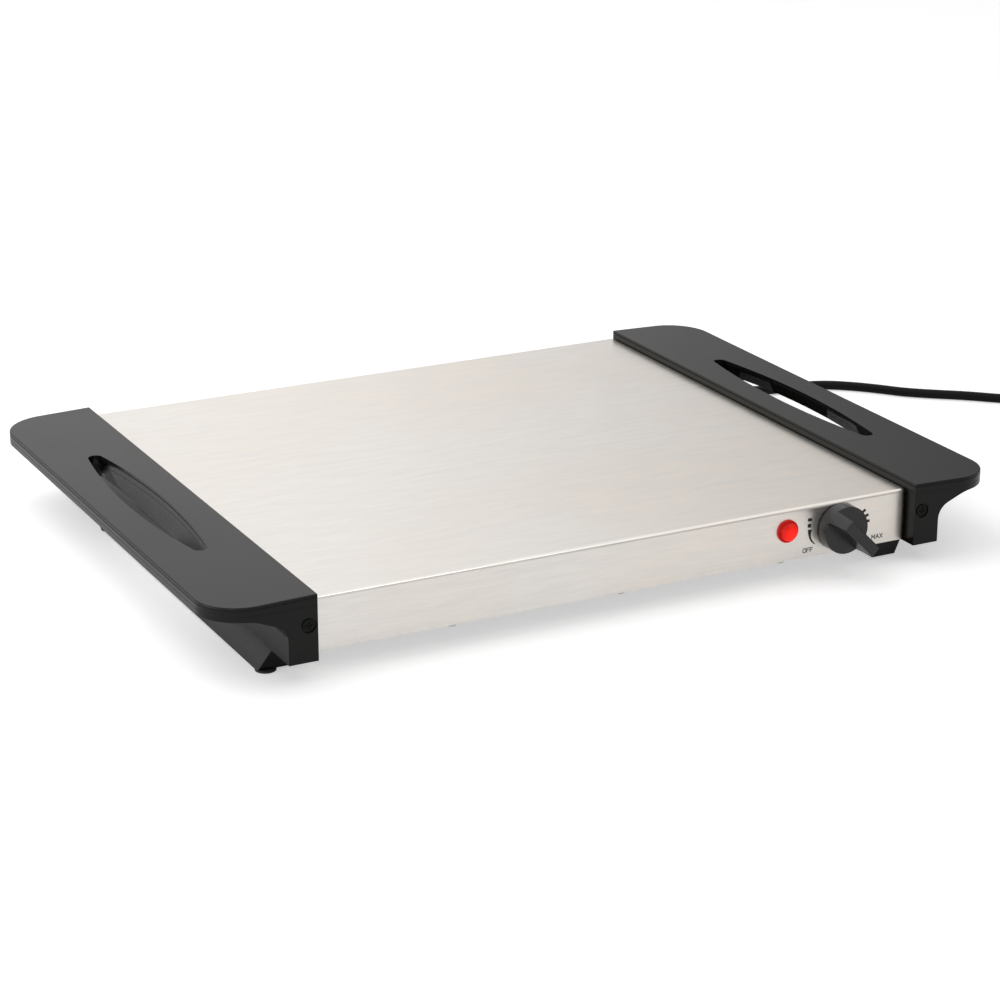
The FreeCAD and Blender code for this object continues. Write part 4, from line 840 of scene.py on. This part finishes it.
def handle_plastic(name, colour):
    """The handles' plastic, with the gap under the wing's top plate and the groove on the rim
    bumped in and painted near black as shade.
    """
    finish = Finish(name)
    spark, mark = mould_texture(finish, SPARK_SCALE)
    shade = finish.blend(mark * 0.5, rgba(colour), darker(colour, 1.5))
    across, _, high = finish.axes(finish.place())
    lean = finish.axes(finish.node("ShaderNodeNewGeometry", output="Normal"))[2]
    upright = lean.size().below(0.55)
    # Painted shade: a band in the gap under the top plate and a band in the groove on the rim
    plate_gap_shade = (high + across.size() * PLATE_FALL - PLATE_SHADE_HEIGHT).size().below(PLATE_HALF)
    rim_gap_shade = (high - RIM_SHADE_HEIGHT).size().below(RIM_HALF)
    # The gaps are bumped in and made rougher, and their colour is painted near black as shade
    shaded_gaps = (plate_gap_shade + rim_gap_shade).clamped() * upright
    return finish.surface(
        base_color=finish.blend(shaded_gaps, shade, (0.001, 0.001, 0.001, 1)),
        roughness=mark * 0.10 + spark * 0.08 + shaded_gaps * 0.4 + 0.17,
        specular=0.22,
        normal=finish.bump(spark * 0.25 - shaded_gaps, 0.25, 0.0003),
    )


# The printed scale round the knob: corners of its patches in millimetres, X and Z
DIAL_SCALE = [
    [(115.3, 35.2), (118.0, 34.9), (117.7, 33.2), (115.1, 33.4)],
    [(115.2, 31.9), (117.4, 31.8), (117.3, 29.6), (115.2, 29.8)],
    [(115.3, 28.5), (118.0, 28.3), (117.6, 26.6), (115.5, 26.9)],
    [(115.5, 26.9), (117.6, 26.6), (117.4, 25.2), (115.9, 25.2)],
    [(115.9, 25.2), (117.4, 25.2), (117.7, 23.4), (116.6, 23.0)],
    [(116.6, 23.0), (117.7, 23.4), (118.7, 21.5), (117.9, 21.0)],
    [(117.9, 21.0), (118.7, 21.5), (120.5, 19.6), (120.0, 19.2)],
    [(150.4, 33.4), (152.4, 34.9), (153.4, 33.6), (151.4, 32.2)],
    [(152.6, 31.0), (154.7, 31.8), (155.3, 30.2), (153.2, 29.5)],
    [(153.4, 27.9), (155.8, 28.1), (156.0, 26.4), (153.5, 26.4)],
]
# The dial's words and the middle of each, in millimetres in X and Z
DIAL_WORDS = {"off": ("OFF", (115.7, 16.65)), "max": ("MAX", (161.4, 17.05))}


class WARMER_OT_control(bpy.types.Operator):
    """Finish the knob and print the dial's scale and words"""

    bl_idname = "warmer.control"
    bl_label = "Control"

    def execute(self, context):
        plastic = moulded_black(
            "knob_plastic", looks().control, grain=1500.0, gloss=0.16, shine=0.5
        )
        remade("control_knob", "knob_moulding", plastic,
               width=sizes().knob_edge, least=50, body=CONTROL)
        dress("thermostat_spindle", plain_metal("spindle_brass", (0.72, 0.57, 0.30)))

        ink = plain_solid("dial_ink", looks().ink, scale=2600.0, depth=0.00001)
        bm = bmesh.new()
        for corners in DIAL_SCALE:
            painted(bm, corners)
        bmesh.ops.recalc_face_normals(bm, faces=bm.faces[:])
        finished(piece_from(bm, "dial_scale"), ink)
        height = sizes().letter_height / MM
        for end, (word, centre) in DIAL_WORDS.items():
            finished(lettering("dial_word_" + end, word, centre, height), ink)
        return {"FINISHED"}


# The lamp's lens: radius and distance in front of the skirt, in millimetres
LENS_PROFILE = [
    (0.0, 0.0), (6.4, 0.0), (6.5, 0.3), (6.5, 0.9), (6.3, 1.2), (5.8, 1.25), (5.4, 1.1),
    (5.3, 1.3), (5.1, 2.2), (4.6, 3.2), (3.7, 3.9), (2.4, 4.4), (1.1, 4.55), (0.0, 4.6),
]


class WARMER_OT_lamp(bpy.types.Operator):
    """Turn the red lens of the indicator lamp"""

    bl_idname = "warmer.lamp"
    bl_label = "Lamp"

    def execute(self, context):
        profile = [(radius * MM, ahead * MM) for radius, ahead in LENS_PROFILE]
        lens = turned("lamp_dome", profile, (LAMP_X, LAMP_Z))
        red = red_lens("lens_red", looks().lens, glow=(1.0, 0.020, 0.012))
        finished(lens, red)
        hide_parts("lamp_lens")
        dress("lamp_body", plain_solid("lamp_housing", (0.75, 0.74, 0.70), roughness=0.45))
        return {"FINISHED"}


ZINC_SHEETS = ("bottom_cover", "handle_bracket_left", "handle_bracket_right",
               "clamp_plate", "thermostat_bracket", "fuse_clip")
ZINC_FASTENERS = ("foot_screws", "clamp_studs", "clamp_nuts", "bush_nut", "lamp_clip")


class WARMER_OT_hardware(bpy.types.Operator):
    """Finish the screws, rivets, brackets and the bottom cover"""

    bl_idname = "warmer.hardware"
    bl_label = "Screws and sheet"

    def execute(self, context):
        dark = plain_metal("blackened_screw", (0.016, 0.0155, 0.015), roughness=0.22)
        remade("handle_end_screws", "end_screws", dark,
               width=0.25 * MM, segments=2, least=40)
        zinc = plain_metal("zinc_plate", (0.56, 0.57, 0.58), roughness=0.38)
        for node in ZINC_SHEETS:
            dress(node, zinc)
        bright = plain_metal("zinc_screw", (0.62, 0.62, 0.60), roughness=0.28, scale=900.0)
        for node in ZINC_FASTENERS:
            dress(node, bright)
        remade("cover_screws", "bottom_screws", bright,
               width=0.4 * MM, least=60)
        alloy = plain_metal("rivet_alloy", (0.76, 0.76, 0.76), roughness=0.34)
        dress("handle_rivets", alloy)
        return {"FINISHED"}


# The blanket's lumps: how many to the metre, and how far they may sink to its middle
LUMP_SCALE = 55
LUMP_DEPTH = 0.14


class WARMER_OT_blanket(bpy.types.Operator):
    """Make the soft insulation blanket under the heater"""

    bl_idname = "warmer.blanket"
    bl_label = "Insulation blanket"

    def execute(self, context):
        block = softened("insulation_blanket", "blanket_block", 2.4 * MM, least=40)
        felt = block.modifiers.new("felt", "REMESH")
        felt.mode = "VOXEL"
        felt.voxel_size = sizes().blanket_grain
        context.view_layer.update()
        seen = block.evaluated_get(context.evaluated_depsgraph_get())
        mesh = bpy.data.meshes.new_from_object(seen)
        bpy.data.objects.remove(block)
        low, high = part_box("insulation_blanket")
        middle = (low.z + high.z) / 2
        for vert in mesh.vertices:
            lump = noise.noise(vert.co * LUMP_SCALE) * 0.5 + 0.5
            vert.co.z += (middle - vert.co.z) * LUMP_DEPTH * lump
        blanket = bpy.data.objects.new("fibre_blanket", mesh)
        context.scene.collection.objects.link(blanket)
        finished(smooth(blanket, math.pi), woven_fibre("mineral_fibre", (0.78, 0.76, 0.68)))
        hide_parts("insulation_blanket")
        return {"FINISHED"}


# Inner parts of metal: finish, colour, roughness, marks to the metre and node
INNER_METALS = [
    ("rolled_aluminium", (0.77, 0.78, 0.78), 0.3, 420.0, "heat_spreader"),
    ("ribbon_alloy", (0.42, 0.39, 0.36), 0.42, 800.0, "heating_ribbon"),
    ("terminal_brass", (0.75, 0.60, 0.30), 0.3, 420.0, "heater_terminals"),
    ("fuse_case", (0.72, 0.72, 0.70), 0.25, 420.0, "thermal_fuse"),
]
# Other inner parts: finish, colour, roughness, grain to the metre, its depth and nodes
INNER_SOLIDS = [
    ("pressed_mica", (0.55, 0.47, 0.33), 0.38, 240.0, 0.00006, ("mica_upper", "mica_lower")),
    ("fired_ceramic", (0.84, 0.82, 0.75), 0.25, 500.0, 0.00004,
     ("heater_bushings", "terminal_block")),
    ("brown_resin", (0.16, 0.08, 0.04), 0.4, 700.0, 0.00008, ("thermostat_body",)),
    ("lead_brown", (0.16, 0.06, 0.03), 0.45, 1200.0, 0.00008,
     ("lead_live", "lead_switched", "lead_fused", "lead_lamp")),
    ("lead_blue", (0.03, 0.08, 0.30), 0.45, 1200.0, 0.00008,
     ("lead_neutral", "lead_lamp_return")),
]


class WARMER_OT_inside(bpy.types.Operator):
    """Finish the heater, the thermostat and the wiring under the top"""

    bl_idname = "warmer.inside"
    bl_label = "Heater and wiring"

    def execute(self, context):
        for name, colour, roughness, scale, node in INNER_METALS:
            dress(node, plain_metal(name, colour, roughness, scale))
        for name, colour, roughness, scale, depth, nodes in INNER_SOLIDS:
            solid = plain_solid(name, colour, roughness, scale, depth)
            for node in nodes:
                dress(node, solid)
        sheath = plain_solid(
            "inner_sheath", looks().cord, roughness=0.42, scale=1500.0, depth=0.00005
        )
        dress("cord_inner", sheath)
        return {"FINISHED"}


class WARMER_PT_panel(bpy.types.Panel):
    bl_idname = "WARMER_PT_panel"
    bl_label = "Warming Tray"
    bl_space_type = "VIEW_3D"
    bl_region_type = "UI"
    bl_category = "Warming Tray"

    def draw(self, context):
        scene = context.scene
        for group in (scene.warmer_looks, scene.warmer_sizes, scene.warmer_stage):
            for name in group.bl_rna.properties.keys():
                if name not in ("rna_type", "name"):
                    self.layout.prop(group, name)
        for operator in OPERATORS:
            self.layout.operator(operator.bl_idname)


GROUPS = {
    "warmer_looks": WarmerLooks,
    "warmer_sizes": WarmerSizes,
    "warmer_stage": WarmerStage,
}
OPERATORS = (
    WARMER_OT_stage,
    WARMER_OT_cord,
    WARMER_OT_steel,
    WARMER_OT_handles,
    WARMER_OT_control,
    WARMER_OT_lamp,
    WARMER_OT_hardware,
    WARMER_OT_blanket,
    WARMER_OT_inside,
)


def register():
    for name, group in GROUPS.items():
        bpy.utils.register_class(group)
        setattr(bpy.types.Scene, name, bpy.props.PointerProperty(type=group))
    for operator in OPERATORS:
        bpy.utils.register_class(operator)
    bpy.utils.register_class(WARMER_PT_panel)


def unregister():
    bpy.utils.unregister_class(WARMER_PT_panel)
    for operator in reversed(OPERATORS):
        bpy.utils.unregister_class(operator)
    for name, group in GROUPS.items():
        delattr(bpy.types.Scene, name)
        bpy.utils.unregister_class(group)


def main():
    register()
    for operator in OPERATORS:
        area, name = operator.bl_idname.split(".")
        getattr(getattr(bpy.ops, area), name)()


if __name__ == "__main__":
    main()
